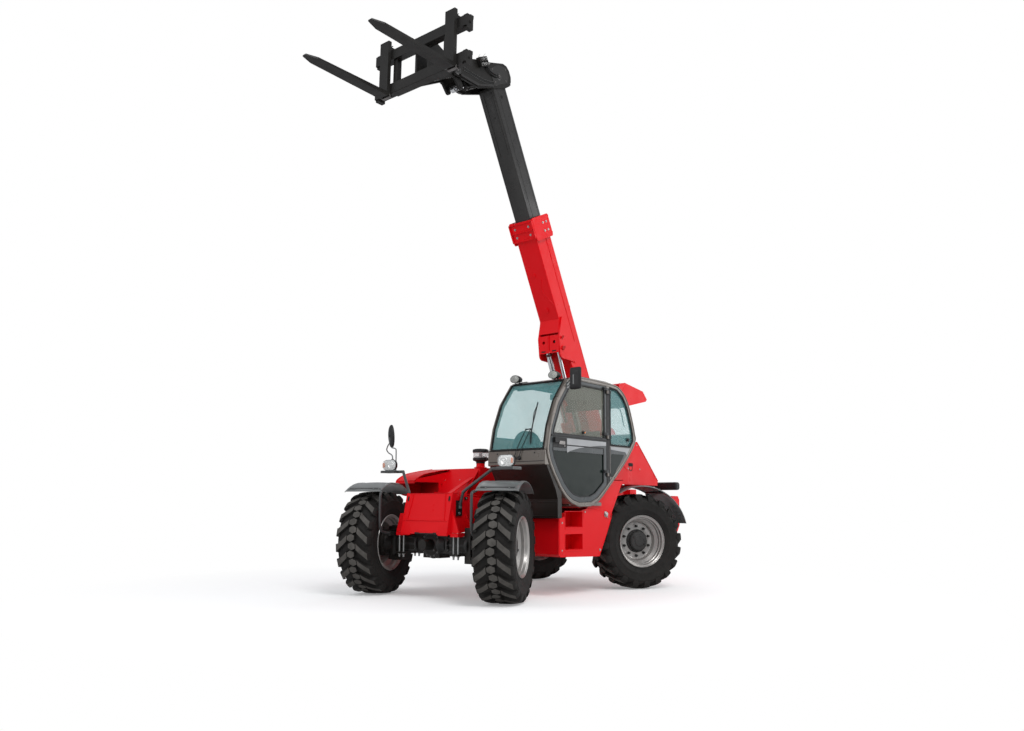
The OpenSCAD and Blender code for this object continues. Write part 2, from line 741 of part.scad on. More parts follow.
module cab_door() {
    color([0.3, 0.3, 0.29]) placed() {
        difference() {
            slab(cab_side_y, cab_out) difference() {
                door_outline(cab_rim + door_gap);
                // upper and lower windows
                intersection() {
                    door_outline(cab_rim + door_gap + 45);
                    translate([-1000, 1885]) square([3000, 1000]);
                }
                intersection() {
                    door_outline(cab_rim + door_gap + 60);
                    translate([-1000, 1000]) square([3000, 760]);
                }
            }
            // room for the frame's hinge barrels
            for (z = hinge_z) translate([door_hinge_x, cab_out + 12, z - 5]) cylinder(d = 38, h = 45 + face);
        }
        // hinge straps and pins
        for (z = hinge_z) {
            translate([door_hinge_x, cab_out + 12, z + 40 + face]) cylinder(d = 26, h = 34);
            block([door_hinge_x, cab_out + 2, z + 40 + face], [door_hinge_x + 80, cab_out + 24, z + 74 + face]);
            translate([door_hinge_x, cab_out + 12, z]) cylinder(d = door_pin_d, h = 60);
            block([door_hinge_x + 30, cab_out - 5, z + 40 + face], [door_hinge_x + 80, cab_out + 3, z + 74 + face]);
        }
        // handle
        block([600, cab_out - 2, 1780], [680, cab_out + 30, 1830]);
    }
}

module door_glass() {
    color([0.5, 0.65, 0.65, 0.4]) placed() slab(cab_out - cab_t / 2, cab_out - cab_t / 2 + glass_t) {
        intersection() {
            door_outline(cab_rim + door_gap + 45 + face);
            translate([-1000, 1885 + face]) square([3000, 1000]);
        }
        intersection() {
            door_outline(cab_rim + door_gap + 60 + face);
            translate([-1000, 1000]) square([3000, 760 - face]);
        }
    }
}

// Boom
boom_low = boom_mid_z - outer_h / 2;
inner_low = boom_mid_z - inner_h / 2;

module boom_outer() {
    color([0.86, 0.07, 0.06]) placed() on_boom() difference() {
        union() {
            block([-20, -outer_w / 2, boom_low], [outer_l - 20, outer_w / 2, boom_low + outer_h]);
            block([outer_l - collar_l, -outer_w / 2 - collar_side, boom_low - collar_side],
                [outer_l, outer_w / 2 + collar_side, boom_low + outer_h + collar_side]);
            // heel around the pivot
            pin_y([0, 0], 120, -outer_w / 2 - 35, outer_w / 2 + 35);
            block([-110, -outer_w / 2, boom_low + 40], [60, outer_w / 2, 60]);
            // bracket for the rods' eyes
            for (y = [[-outer_w / 2 - 24, -outer_w / 2 + eps], [outer_w / 2 - eps, outer_w / 2 + 24]])
                slab(y[0], y[1]) hull() {
                    translate([1250, boom_low + 50]) square([640, 40]);
                    translate([lift_pin[0] - 70, lift_pin[1] - 18]) circle(r = 68);
                    translate(comp_pin) circle(r = 52);
                }
            // plate that closes the bracket's front above the rods' eyes
            slab(-outer_w / 2 - 1, outer_w / 2 + 1) polygon([comp_pin + [75, -6], comp_pin + [85, 14],
                comp_pin + [200, boom_low - comp_pin[1] + eps], comp_pin + [240, boom_low - comp_pin[1] + eps]]);
        }
        // room of the inner boom
        block([200, -inner_w / 2 - 15, inner_low - 15], [outer_l + 10 - 60, inner_w / 2 + 15, inner_low + inner_h + 15]);
        block([outer_l - 62, -inner_w / 2 - face, inner_low - face],
            [outer_l + 10, inner_w / 2 + face, inner_low + inner_h + face]);
        pin_y([0, 0], boom_pin_d / 2 + fit, -300, 300);
    }
    color([0.3, 0.3, 0.3]) placed() on_boom() {
        for (y = [[-outer_w / 2 - 36, -outer_w / 2 - 23], [outer_w / 2 + 23, outer_w / 2 + 36]]) {
            pin_y(lift_pin, lift_pin_d / 2, y[0], y[1]);
            pin_y(comp_pin, comp_pin_d / 2, y[0], y[1]);
        }
    }
}

module boom_inner() {
    color([0.12, 0.12, 0.12]) placed() on_boom() difference() {
        block([1200, -inner_w / 2, inner_low], [inner_end, inner_w / 2, inner_low + inner_h]);
        block([1100, -inner_w / 2 + boom_t, inner_low + boom_t],
            [inner_end - 20, inner_w / 2 - boom_t, inner_low + inner_h - boom_t]);
    }
}

head_t = 25;

head_p = [head_reach, -head_drop];

// Gooseneck plate from the inner boom's end down to the fork pivot
module head_side() {
    polygon([[inner_end - 25, -60], [inner_end, inner_low - 18], [inner_end + 30, -600],
        head_p + [-76, -26], head_p, head_p + [80, 0], head_p + [118, 197], head_p + [85, 444],
        head_p + [40, 623], [inner_end + 280, 20], [inner_end + 240, 80], [inner_end + 180, 105],
        [inner_end + 100, 105], [inner_end + 40, 80], [inner_end - 10, 30]]);
    translate(head_p) circle(r = 80);
}

module boom_head() {
    color([0.12, 0.12, 0.12]) placed() on_boom() difference() {
        union() {
            for (s = [-1, 1])
                slab(s > 0 ? head_w / 2 - head_t : -head_w / 2, s > 0 ? head_w / 2 : -head_w / 2 + head_t)
                    head_side();
            // plate that closes the boom's end
            block([inner_end + face, -head_w / 2 + 1, inner_low - 4], [inner_end + 25, head_w / 2 - 1, 60]);
            // cover over the head's back and end
            slab(-head_w / 2 + 1, head_w / 2 - 1) polygon([head_p + [116, 225], head_p + [84, 444],
                head_p + [39, 623], [inner_end + 279, 20], [inner_end + 239, 79], [inner_end + 180, 104],
                [inner_end + 100, 104], [inner_end + 41, 79], [inner_end + face, 40], [inner_end + 5, 5],
                [inner_end + 50, 50], [inner_end + 105, 76], [inner_end + 175, 76], [inner_end + 220, 58],
                [inner_end + 253, 10], head_p + [12, 619], head_p + [57, 440], head_p + [88, 225]]);
        }
        block([inner_end - 200, -inner_w / 2 - face, inner_low - face],
            [inner_end + face, inner_w / 2 + face, inner_low + inner_h + face]);
    }
    color([0.3, 0.3, 0.3]) placed() on_boom() {
        pin_y(head_p, tilt_pin_d / 2, -head_w / 2 - 12, head_w / 2 + 12);
        pin_y(tilt_foot, 20, -head_w / 2 - 12, head_w / 2 + 12);
        // coupler block on the near side
        block([inner_end + 265, head_w / 2 - eps, -500], [inner_end + 385, head_w / 2 + 55, -345]);
    }
}

// Carriage and forks
ear_y = head_w / 2 - head_t - swing;

// Cross bars: back face, height, and their lower faces
bar_x = fork_back - 100;
bar_h = 125;
bar_z = [-310, 122];
plate_end = fork_back - 2 * face;

module carriage() {
    color([0.12, 0.12, 0.12]) placed() on_carriage() {
        difference() {
            union() {
                for (s = [-1, 1]) slab(s > 0 ? ear_y - 30 : -ear_y, s > 0 ? ear_y : -ear_y + 30) {
                    hull() {
                        circle(r = 75);
                        translate([bar_x, bar_z[0]]) square([10, bar_z[1] + bar_h - bar_z[0]]);
                    }
                    hull() {
                        circle(r = 62);
                        translate(tilt_lever) circle(r = 40);
                    }
                }
                // cross bars with their end blocks
                for (z = bar_z) {
                    block([bar_x, -carriage_w / 2 + 1, z], [plate_end, carriage_w / 2 - 1, z + bar_h]);
                    for (s = [-1, 1])
                        block([bar_x - 20, s > 0 ? carriage_w / 2 - 60 : -carriage_w / 2, z - 22],
                            [plate_end - 20, s > 0 ? carriage_w / 2 : -carriage_w / 2 + 60, z + bar_h + 22]);
                }
                // posts beside the forks and in the middle
                for (s = [-1, 1]) {
                    y0 = s > 0 ? 395 : -465;
                    block([bar_x + 8, y0, bar_z[0] + 1], [plate_end - 25, y0 + 70, bar_z[1] + bar_h - 1]);
                    block([bar_x, s * 104 - 15, bar_z[0] + 1], [bar_x + 40, s * 104 + 15, bar_z[1] + bar_h - 1]);
                }
            }
            pin_y([0, 0], tilt_pin_d / 2 + fit, -300, 300);
        }
        for (s = [-1, 1])
            pin_y(tilt_lever, 20, s > 0 ? ear_y - 35 : -ear_y - 4, s > 0 ? ear_y + 4 : -ear_y + 35);
    }
}

module forks() {
    color([0.1, 0.1, 0.1]) placed() on_carriage() for (s = [-1, 1]) {
        y0 = s * fork_gap / 2 - fork_w / 2;
        tip = fork_back + fork_t + fork_l;
        hook_z = bar_z[1] + bar_h + face;
        difference() {
            slab(y0, y0 + fork_w) polygon([[fork_back, fork_low + 45], [fork_back + 14, fork_low + 14],
                [fork_back + 45, fork_low], [tip, fork_low + blade_rise], [tip, fork_low + fork_t],
                [fork_back + fork_t + 12, fork_low + fork_t], [fork_back + fork_t, fork_low + fork_t + 12],
                [fork_back + fork_t, shank_top], [fork_back, shank_top]]);
            // sides drawn in towards the tip
            for (e = [0, 1])
                translate([tip - 140, y0 + e * fork_w, fork_low - 10]) rotate([0, 0, e > 0 ? -18 : 18])
                    translate([-40, e > 0 ? 0 : -100, 0]) cube([260, 100, 90]);
        }
        block([fork_back - 60, y0, hook_z], [fork_back + 1, y0 + fork_w, hook_z + 42]);
    }
}

// Cylinders
lift_at = boom_pt(lift_pin);
comp_at = boom_pt(comp_pin);
lift_span = norm(lift_at - lift_foot);
comp_span = norm(comp_at - comp_foot);
tilt_from = boom_pt(tilt_foot);
tilt_span = norm(tilt_pt() - tilt_from);

// Barrel with its foot's eye, open at the far end for the rod
module barrel(foot, a, y, d, rod_d, pin_d, eye_r, eye_w, l) {
    color([0.86, 0.07, 0.06]) placed() translate([foot[0], y, foot[1]]) rotate([0, -a, 0]) difference() {
        union() {
            rotate([90, 0, 0]) cylinder(r = eye_r, h = eye_w, center = true);
            rotate([0, 90, 0]) cylinder(d = d, h = l);
            translate([l - 50, 0, 0]) rotate([0, 90, 0]) cylinder(d = d + 4, h = 50);
        }
        translate([eye_r + 22, 0, 0]) rotate([0, 90, 0]) cylinder(d = d - 2 * barrel_t, h = l - eye_r - 22 - 50);
        translate([eye_r + 22, 0, 0]) rotate([0, 90, 0]) cylinder(d = rod_d + 2 * fit, h = l);
        rotate([90, 0, 0]) cylinder(d = pin_d + 2 * fit, h = 3 * eye_w, center = true);
    }
}

// Rod with its eye at the far pin
module rod(foot, a, y, rod_d, pin_d, eye_r, eye_w, span, l) {
    color([0.75, 0.76, 0.78]) placed() translate([foot[0], y, foot[1]]) rotate([0, -a, 0]) difference() {
        union() {
            translate([span, 0, 0]) rotate([90, 0, 0]) cylinder(r = eye_r, h = eye_w, center = true);
            translate([span - l, 0, 0]) rotate([0, 90, 0]) cylinder(d = rod_d, h = l);
        }
        translate([span, 0, 0]) rotate([90, 0, 0]) cylinder(d = pin_d + 2 * fit, h = 3 * eye_w, center = true);
    }
}

lift_short = 1300;
comp_short = 1340;
tilt_short = 630;

module lift_barrel() {
    barrel(lift_foot, heading(lift_foot, lift_at), lift_y, lift_d, 80, lift_pin_d, 62, lift_d, lift_short - 110);
}
module lift_rod() {
    rod(lift_foot, heading(lift_foot, lift_at), lift_y, 80, lift_pin_d, 58, 130, lift_span, lift_short - 110);
}
module comp_barrel() {
    barrel(comp_foot, heading(comp_foot, comp_at), comp_y, comp_d, 50, comp_pin_d, 44, comp_d, comp_short - 90);
}
module comp_rod() {
    rod(comp_foot, heading(comp_foot, comp_at), comp_y, 50, comp_pin_d, 42, 90, comp_span, comp_short - 90);
}
module tilt_barrel() {
    barrel(tilt_from, heading(tilt_from, tilt_pt()), 0, tilt_d, 50, 40, 48, 120, tilt_short - 85);
}
module tilt_rod() {
    rod(tilt_from, heading(tilt_from, tilt_pt()), 0, 50, 40, 40, 60, tilt_span, tilt_short - 110);
}

chassis();
body_left();
counterweight();
engine_hood();
engine_block();
air_intake();
axle(1);  // front_axle
axle(-1);  // rear_axle
cab_frame();
cab_roof();
cab_front_panel();
cab_glass();
windscreen();
seat();
steering_column();
wiper();
lamps();
lamp_arms();
mirrors();
rear_cowl();
cab_door();
door_glass();
knuckle(0);  // knuckle_fl
knuckle(1);  // knuckle_fr
knuckle(2);  // knuckle_rl
knuckle(3);  // knuckle_rr
rim(0);  // rim_fl
rim(1);  // rim_fr
rim(2);  // rim_rl
rim(3);  // rim_rr
tyre(0);  // tyre_fl
tyre(1);  // tyre_fr
tyre(2);  // tyre_rl
tyre(3);  // tyre_rr
boom_outer();
boom_inner();
boom_head();
carriage();
forks();
lift_barrel();
lift_rod();
comp_barrel();
comp_rod();
tilt_barrel();
tilt_rod();
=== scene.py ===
"""Telehandler with a raised boom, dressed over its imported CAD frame."""

from math import atan2, cos, degrees, exp, hypot, pi, radians, sin, sqrt

import bmesh
import bpy
from mathutils import Matrix, Vector


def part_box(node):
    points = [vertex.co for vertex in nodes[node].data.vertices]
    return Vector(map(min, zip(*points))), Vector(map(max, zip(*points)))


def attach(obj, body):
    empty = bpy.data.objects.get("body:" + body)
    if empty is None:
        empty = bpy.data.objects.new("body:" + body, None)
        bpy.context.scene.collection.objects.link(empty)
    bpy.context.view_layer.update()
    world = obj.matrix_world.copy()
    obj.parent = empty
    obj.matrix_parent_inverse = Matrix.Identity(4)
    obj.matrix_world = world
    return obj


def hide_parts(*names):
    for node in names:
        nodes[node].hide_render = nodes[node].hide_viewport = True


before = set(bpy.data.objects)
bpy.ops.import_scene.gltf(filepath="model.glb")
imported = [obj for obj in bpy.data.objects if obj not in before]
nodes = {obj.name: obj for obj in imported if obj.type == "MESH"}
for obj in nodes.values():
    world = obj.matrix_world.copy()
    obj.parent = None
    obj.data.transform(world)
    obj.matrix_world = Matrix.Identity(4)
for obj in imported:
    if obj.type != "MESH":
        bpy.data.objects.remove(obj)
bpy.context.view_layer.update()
V = Vector
# rear face of the counterweight behind the middle of the wheelbase, and what that gives for the row's origin
TAIL_X = -2.45
MID = TAIL_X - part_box("counterweight")[0][0]

# ---------------------------------------------------------------- frames
# Places below are in metres from the middle of the wheelbase, as in the CAD source.
WB = Matrix.Translation((-MID, 0, 0))


def turned(angle_deg, at=(0, 0, 0)):
    """A frame with +x raised by the angle in the X-Z plane, its origin at a wheelbase point."""
    return WB @ Matrix.Translation(at) @ Matrix.Rotation(radians(-angle_deg), 4, "Y")


# heel pin of the boom, and the angles that boom and carriage stand at in degrees
HEEL_X, HEEL_Z, BOOM_ANGLE, CARRIAGE_ANGLE = -1.8, 2.02, 64, 1
# pins in the boom's own X and Z
HEAD_PIN = (5.245, -0.925)
LIFT_PIN, LEVEL_PIN, TILT_PIN = (1.5, -0.44), (1.64, -0.4), (5.09, -0.15)
BOOM = turned(BOOM_ANGLE, (HEEL_X, 0, HEEL_Z))
PIVOT = WB.inverted() @ BOOM @ V((HEAD_PIN[0], 0, HEAD_PIN[1]))
CARRIAGE = turned(CARRIAGE_ANGLE, PIVOT)
# wheels: axle's distance from the middle, kingpin's offset, hub's height and the wheel's middle beyond the kingpin,
# then fore, side and steering angle of each
AXLE_X, KINGPIN_Y, HUB_Z, WHEEL_Y = 1.405, 0.71, 0.61, 0.25
WHEELS = {"fl": (1, 1, 27), "fr": (1, -1, 20), "rl": (-1, 1, -26), "rr": (-1, -1, -19)}


def kingpin(name):
    """A wheel's steered frame, +y outward on both sides."""
    fore, side, turn = WHEELS[name]
    m = WB @ Matrix.Translation((fore * AXLE_X, side * KINGPIN_Y, HUB_Z)) @ Matrix.Rotation(radians(turn), 4, "Z")
    return m @ Matrix.Scale(side, 4, (0, 1, 0)) if side < 0 else m


def wheel(name):
    """The wheel's own frame, in the middle of its rim."""
    return kingpin(name) @ Matrix.Translation((0, WHEEL_Y, 0))


# ---------------------------------------------------------------- materials
def node_of(nt, kind, **values):
    """A new node with its inputs, or else its own settings, set to the values."""
    n = nt.nodes.new(kind)
    for k, v in values.items():
        if k in n.inputs:
            n.inputs[k].default_value = v
        else:
            setattr(n, k, v)
    return n


def fed(nt, node, *sources):
    """Links the sources to the node's first inputs, and gives its first output."""
    for k, source in enumerate(sources):
        nt.links.new(source, node.inputs[k])
    return node.outputs[0]


def ramp(nt, fac, stops):
    """A colour ramp through (position, colour) stops."""
    n = nt.nodes.new("ShaderNodeValToRGB")
    while len(n.color_ramp.elements) < len(stops):
        n.color_ramp.elements.new(0.5)
    for e, (p, c) in zip(n.color_ramp.elements, stops):
        e.position = p
        e.color = (*c, 1) if len(c) == 3 else c
    nt.links.new(fac, n.inputs[0])
    return n.outputs[0]


def noise(nt, coord, scale, detail=4, rough=0.55):
    n = node_of(nt, "ShaderNodeTexNoise", Scale=scale, Detail=detail, Roughness=rough)
    nt.links.new(coord, n.inputs["Vector"])
    return n.outputs["Fac"]


def material(name, base, rough=0.4, metal=0.0, coat=0.0, var=0.12, spread=3.0, grain=300.0, bump=0.05,
             depth=0.001, dust=None, rough_var=0.1, spec=0.5):
    """Paint, plastic, rubber or metal with mottled colour, uneven gloss, a fine grain and dust that lies low."""
    m = bpy.data.materials.new(name)
    m.use_nodes = True
    nt = m.node_tree
    b = nt.nodes["Principled BSDF"]
    pos = nt.nodes.new("ShaderNodeTexCoord").outputs["Object"]
    big = noise(nt, pos, spread)
    dark = tuple(c * (1 - var) for c in base)
    pale = tuple(min(1, c * (1 + var)) for c in base)
    colour = ramp(nt, big, [(0.3, dark), (0.7, pale)])
    if dust:
        shade, low, high, amount = dust
        z = nt.nodes.new("ShaderNodeSeparateXYZ")
        nt.links.new(pos, z.inputs[0])
        h = node_of(nt, "ShaderNodeMapRange", **{"From Min": low, "From Max": high, "To Min": amount, "To Max": 0})
        nt.links.new(z.outputs["Z"], h.inputs["Value"])
        low_dust = fed(nt, node_of(nt, "ShaderNodeMath", operation="MULTIPLY"), h.outputs[0], noise(nt, pos, 14, 6))
        mix = node_of(nt, "ShaderNodeMix", data_type="RGBA")
        nt.links.new(low_dust, mix.inputs[0])
        nt.links.new(colour, mix.inputs[6])
        mix.inputs[7].default_value = (*shade, 1)
        colour = mix.outputs[2]
    nt.links.new(colour, b.inputs["Base Color"])
    r = ramp(nt, noise(nt, pos, spread * 5, 6), [(0.3, (max(0, rough - rough_var),) * 3),
                                                 (0.75, (min(1, rough + rough_var),) * 3)])
    nt.links.new(r, b.inputs["Roughness"])
    b.inputs["Metallic"].default_value = metal
    b.inputs["Coat Weight"].default_value = coat
    b.inputs["Coat Roughness"].default_value = 0.08
    b.inputs["Specular IOR Level"].default_value = spec
    bp = node_of(nt, "ShaderNodeBump", Strength=bump, Distance=depth)
    nt.links.new(noise(nt, pos, grain, 3), bp.inputs["Height"])
    nt.links.new(bp.outputs[0], b.inputs["Normal"])
    m.diffuse_color = (*base, 1)
    return m


DIRT = (0.16, 0.12, 0.09)
RED = material("red_paint", (0.77, 0.003, 0.008), 0.36, coat=0.03, var=0.03, spread=1.3, grain=420, bump=0.03,
               dust=(DIRT, 0.3, 1.2, 0.04), spec=0.14)
# darker copy of the red paint, for painted shade
RED_PAINTED_SHADE = material("red_paint_shaded", (0.42, 0.005, 0.005), 0.45, var=0.08, spread=4, bump=0.05, spec=0.1)
BLACK = material("black_paint", (0.012, 0.011, 0.01), 0.42, var=0.3, spread=2.2, grain=240, bump=0.08,
                 dust=(DIRT, 0.2, 1.1, 0.1), spec=0.3)
BOOM_BLACK = material("boom_black", (0.013, 0.012, 0.011), 0.34, coat=0.25, var=0.25, spread=1.6, grain=160, bump=0.06,
                      spec=0.45)
GREY = material("dark_grey_paint", (0.155, 0.163, 0.162), 0.4, coat=0.3, var=0.1, spread=2.5, bump=0.05,
                dust=(DIRT, 0.5, 1.3, 0.12))
TUBE = material("grey_tube", (0.045, 0.046, 0.047), 0.42, coat=0.1, var=0.15, spread=4, bump=0.06)
CAB = material("cab_metallic", (0.135, 0.117, 0.1), 0.34, metal=0.3, coat=0.4, var=0.08, spread=1.6, grain=600,
               bump=0.03)
PLASTIC = material("black_plastic", (0.016, 0.016, 0.017), 0.55, var=0.2, spread=8, grain=500, bump=0.25,
                   depth=0.0006, spec=0.35)
RUBBER = material("tyre_rubber", (0.014, 0.013, 0.012), 0.74, var=0.25, spread=6, grain=180, bump=0.35,
                  depth=0.001, dust=((0.1, 0.085, 0.07), 0.0, 0.9, 0.1), spec=0.25)
TREAD = material("worn_tread", (0.08, 0.075, 0.069), 0.8, var=0.3, spread=9, grain=140, bump=0.5,
                 depth=0.0015, dust=((0.14, 0.12, 0.1), 0.0, 1.1, 0.25), spec=0.25)
# black rubber for seals, plugs and hoses, also used for black sheets over slots and holes as painted shade of the
# openings
SEAL_AND_SLOT_SHADE = material("seal_rubber_and_slot_shade", (0.012, 0.012, 0.012), 0.8, var=0.2, spread=20, grain=300, bump=0.2, spec=0.3)
RIM = material("rim_silver", (0.4, 0.385, 0.37), 0.36, metal=0.55, coat=0.2, var=0.06, spread=5, grain=500,
               bump=0.04, dust=((0.2, 0.17, 0.14), 0.0, 0.9, 0.3))
IRON = material("cast_iron", (0.035, 0.034, 0.033), 0.62, metal=0.3, var=0.3, spread=9, grain=120, bump=0.45,
                depth=0.002)
CHROME = material("chromed_rod", (0.72, 0.73, 0.75), 0.12, metal=1, var=0.03, spread=4, grain=900, bump=0.01,
                  rough_var=0.04)
ZINC = material("zinc_bolt", (0.42, 0.42, 0.41), 0.36, metal=0.9, var=0.15, spread=30, grain=700, bump=0.08)
STEEL = material("worn_steel", (0.2, 0.19, 0.185), 0.38, metal=0.85, var=0.25, spread=12, grain=300, bump=0.12)
ENGINE = material("engine_grey", (0.05, 0.052, 0.055), 0.6, metal=0.2, var=0.35, spread=7, grain=90, bump=0.5,
                  depth=0.003)
AMBER = material("amber_lens", (0.75, 0.17, 0.01), 0.2, coat=0.6, var=0.06, spread=20, grain=60, bump=0.2)
RED_LENS = material("red_lens", (0.45, 0.005, 0.005), 0.18, coat=0.7, var=0.08, spread=20, grain=60, bump=0.2)
MIRROR = material("mirror_face", (0.8, 0.81, 0.82), 0.05, metal=1, var=0.02, grain=900, bump=0.005, rough_var=0.02)
LAMP = material("lamp_reflector", (0.86, 0.86, 0.84), 0.16, metal=0.6, coat=0.8, var=0.05, spread=30, grain=70,
                bump=0.35, depth=0.004)


def glass(name, tint, alpha, coat=0.3, spec=0.4):
    """Clear or tinted glass with faint smears."""
    m = bpy.data.materials.new(name)
    m.use_nodes = True
    nt = m.node_tree
    b = nt.nodes["Principled BSDF"]
    pos = nt.nodes.new("ShaderNodeTexCoord").outputs["Object"]
    smear = noise(nt, pos, 3.5, 5)
    nt.links.new(ramp(nt, smear, [(0.3, tint), (0.75, tuple(min(1, c * 1.12) for c in tint))]), b.inputs["Base Color"])
    nt.links.new(ramp(nt, noise(nt, pos, 9, 6), [(0.35, (0.03,) * 3), (0.8, (0.1,) * 3)]), b.inputs["Roughness"])
    b.inputs["Alpha"].default_value = alpha
    b.inputs["Specular IOR Level"].default_value = spec
    b.inputs["Coat Weight"].default_value = coat
    b.inputs["Coat Roughness"].default_value = 0.03
    return m


GLASS = glass("cab_glass", (0.22, 0.55, 0.56), 0.22)
DOOR_GLASS = glass("tinted_glass", (0.22, 0.23, 0.19), 0.4, coat=0.0, spec=0.25)
LENS = glass("lamp_lens", (0.85, 0.88, 0.88), 0.25)


def cloth_material():
    """Dark seat cloth: a fine woven check over a mottled base."""
    m = material("seat_cloth", (0.028, 0.029, 0.032), 0.85, var=0.2, spread=9, grain=60, bump=0.1, spec=0.2)
    nt = m.node_tree
    b = nt.nodes["Principled BSDF"]
    pos = nt.nodes.new("ShaderNodeTexCoord").outputs["Object"]
    waves = []
    for angle in (0, pi / 2):
        mp = node_of(nt, "ShaderNodeMapping")
        mp.inputs["Rotation"].default_value = (0.3, angle, 0.4)
        nt.links.new(pos, mp.inputs["Vector"])
        w = node_of(nt, "ShaderNodeTexWave", Scale=260.0, Distortion=0.6)
        nt.links.new(mp.outputs[0], w.inputs["Vector"])
        waves.append(w.outputs["Fac"])
    height = fed(nt, node_of(nt, "ShaderNodeMath", operation="MULTIPLY"), *waves)
    bp = node_of(nt, "ShaderNodeBump", Strength=0.5, Distance=0.0012)
    nt.links.new(height, bp.inputs["Height"])
    nt.links.new(bp.outputs[0], b.inputs["Normal"])
    b.inputs["Sheen Weight"].default_value = 0.3
    return m


CLOTH = cloth_material()


# ---------------------------------------------------------------- mesh tools
PUT = {"y": lambda a, b, t: (a, t, b), "z": lambda a, b, t: (a, b, t), "x": lambda a, b, t: (t, a, b)}


def around(n, r, start=0.0):
    """Points on a circle of radius r, the first at the angle start."""
    return [(r * cos(start + 2 * pi * k / n), r * sin(start + 2 * pi * k / n)) for k in range(n)]


def span(side, a, b):
    """Two distances on one side of the machine, the lower number first."""
    return sorted((side * a, side * b))


class Mesh:
    """Collects simple closed forms in one mesh, each face with the number of its material."""

    def __init__(self):
        self.bm = bmesh.new()
        self.mat = 0

    def faces(self, pts, fs, mats=None):
        vs = [self.bm.verts.new(p) for p in pts]
        for k, f in enumerate(fs):
            try:
                face = self.bm.faces.new([vs[i] for i in f])
                face.material_index = mats[k] if mats else self.mat
            except ValueError:
                pass
        return vs

    def loft(self, rings, ends=2):
        """Closed rings with as many points each, skinned from one to the next, and closed at one or both ends."""
        n, last = len(rings[0]), len(rings) - 1
        fs = [(i * n + k, i * n + (k + 1) % n, (i + 1) * n + (k + 1) % n, (i + 1) * n + k) for i in range(last)
              for k in range(n)]
        fs += [tuple(range(n)), tuple(last * n + k for k in range(n - 1, -1, -1))][:ends]
        self.faces([p for ring in rings for p in ring], fs)

    def plate(self, low, high):
        """A closed form between two outlines with as many points."""
        n = len(low)
        fs = [tuple(range(n)), tuple(range(2 * n - 1, n - 1, -1))]
        self.faces(low + high, fs + [(i, i + n, (i + 1) % n + n, (i + 1) % n) for i in range(n)])

    def move(self, first, matrix):
        """Moves the points made since the first by a matrix."""
        for v in list(self.bm.verts)[first:]:
            v.co = matrix @ v.co

    def box(self, lo, hi, m=None):
        pts = [V((x, y, z)) for x in (lo[0], hi[0]) for y in (lo[1], hi[1]) for z in (lo[2], hi[2])]
        if m:
            pts = [m @ p for p in pts]
        self.faces(pts, [(0, 1, 3, 2), (4, 6, 7, 5), (0, 4, 5, 1), (2, 3, 7, 6), (0, 2, 6, 4), (1, 5, 7, 3)])

    def prism(self, outline, y0, y1, axis="y"):
        """Outline in X and Z along Y, or for axis z in X and Y along Z, or for axis x in Y and Z along X."""
        self.plate(*([PUT[axis](a, b, t) for a, b in outline] for t in (y0, y1)))

    def ring(self, outer, inner, y0, y1, axis="y"):
        """Like prism, with a hole of as many corners as the outline."""
        n = len(outer)
        pts = [PUT[axis](a, b, t) for t in (y0, y1) for o in (outer, inner) for a, b in o]
        fs = []
        for i in range(n):
            j = (i + 1) % n
            fs += [(i, j, n + j, n + i), (2 * n + i, 3 * n + i, 3 * n + j, 2 * n + j),
                   (i, 2 * n + i, 2 * n + j, j), (n + i, n + j, 3 * n + j, 3 * n + i)]
        self.faces(pts, fs)

    def cyl(self, a, b, r, r2=None, seg=20):
        a, b = V(a), V(b)
        d = (b - a).normalized()
        u = d.orthogonal().normalized()
        w = d.cross(u)
        r2 = r if r2 is None else r2
        pts = []
        for c, q in ((a, r), (b, r2)):
            pts += [c + q * (x * u + y * w) for x, y in around(seg, 1)]
        fs = [(i, (i + 1) % seg, (i + 1) % seg + seg, i + seg) for i in range(seg)]
        self.faces(pts, fs + [tuple(range(seg - 1, -1, -1)), tuple(range(seg, 2 * seg))])

    def bolt(self, p, d, r=0.012, h=None):
        """Hexagon head on a washer, its axis along d."""
        p, d = V(p), V(d).normalized()
        h = h or r * 0.75
        self.cyl(p, p + d * h * 0.3, r * 1.35, seg=14)
        self.cyl(p + d * h * 0.3, p + d * (h * 1.2), r, r * 0.93, seg=6)

    def tube(self, pts, r, seg=10, close=False):
        """Smooth tube through points, its corners rounded by a curve through them."""
        pts = smooth_path([V(p) for p in pts], close)
        n = len(pts)
        u = None
        rings = []
        for i, p in enumerate(pts):
            a = pts[(i - 1) % n] if close or i else p
            b = pts[(i + 1) % n] if close or i < n - 1 else p
            d = (b - a).normalized()
            u = d.orthogonal() if u is None else u - d * u.dot(d)
            u.normalize()
            w = d.cross(u)
            rings.append([p + r * (x * u + y * w) for x, y in around(seg, 1)])
        fs = []
        for i in range(n if close else n - 1):
            j = (i + 1) % n
            fs += [(i * seg + k, i * seg + (k + 1) % seg, j * seg + (k + 1) % seg, j * seg + k) for k in range(seg)]
        if not close:
            fs += [tuple(range(seg - 1, -1, -1)), tuple((n - 1) * seg + k for k in range(seg))]
        self.faces([q for g in rings for q in g], fs)

    def lathe(self, profile, seg=64, at=(0, 0, 0), axis="y", close=True):
        """Turns (radius, along) points about an axis through a point; close joins the last to the first."""
        at = V(at)
        put = {"y": lambda r, t, c, s: V((r * c, t, r * s)), "x": lambda r, t, c, s: V((t, r * c, r * s)),
               "z": lambda r, t, c, s: V((r * c, r * s, t))}[axis]
        n = len(profile)
        pts = []
        for k in range(seg):
            a = 2 * pi * k / seg
            pts += [at + put(r, t, cos(a), sin(a)) for r, t in profile]
        fs = []
        for k in range(seg):
            m = (k + 1) % seg
            for i in range(n if close else n - 1):
                j = (i + 1) % n
                fs.append((k * n + i, m * n + i, m * n + j, k * n + j))
        self.faces(pts, fs)

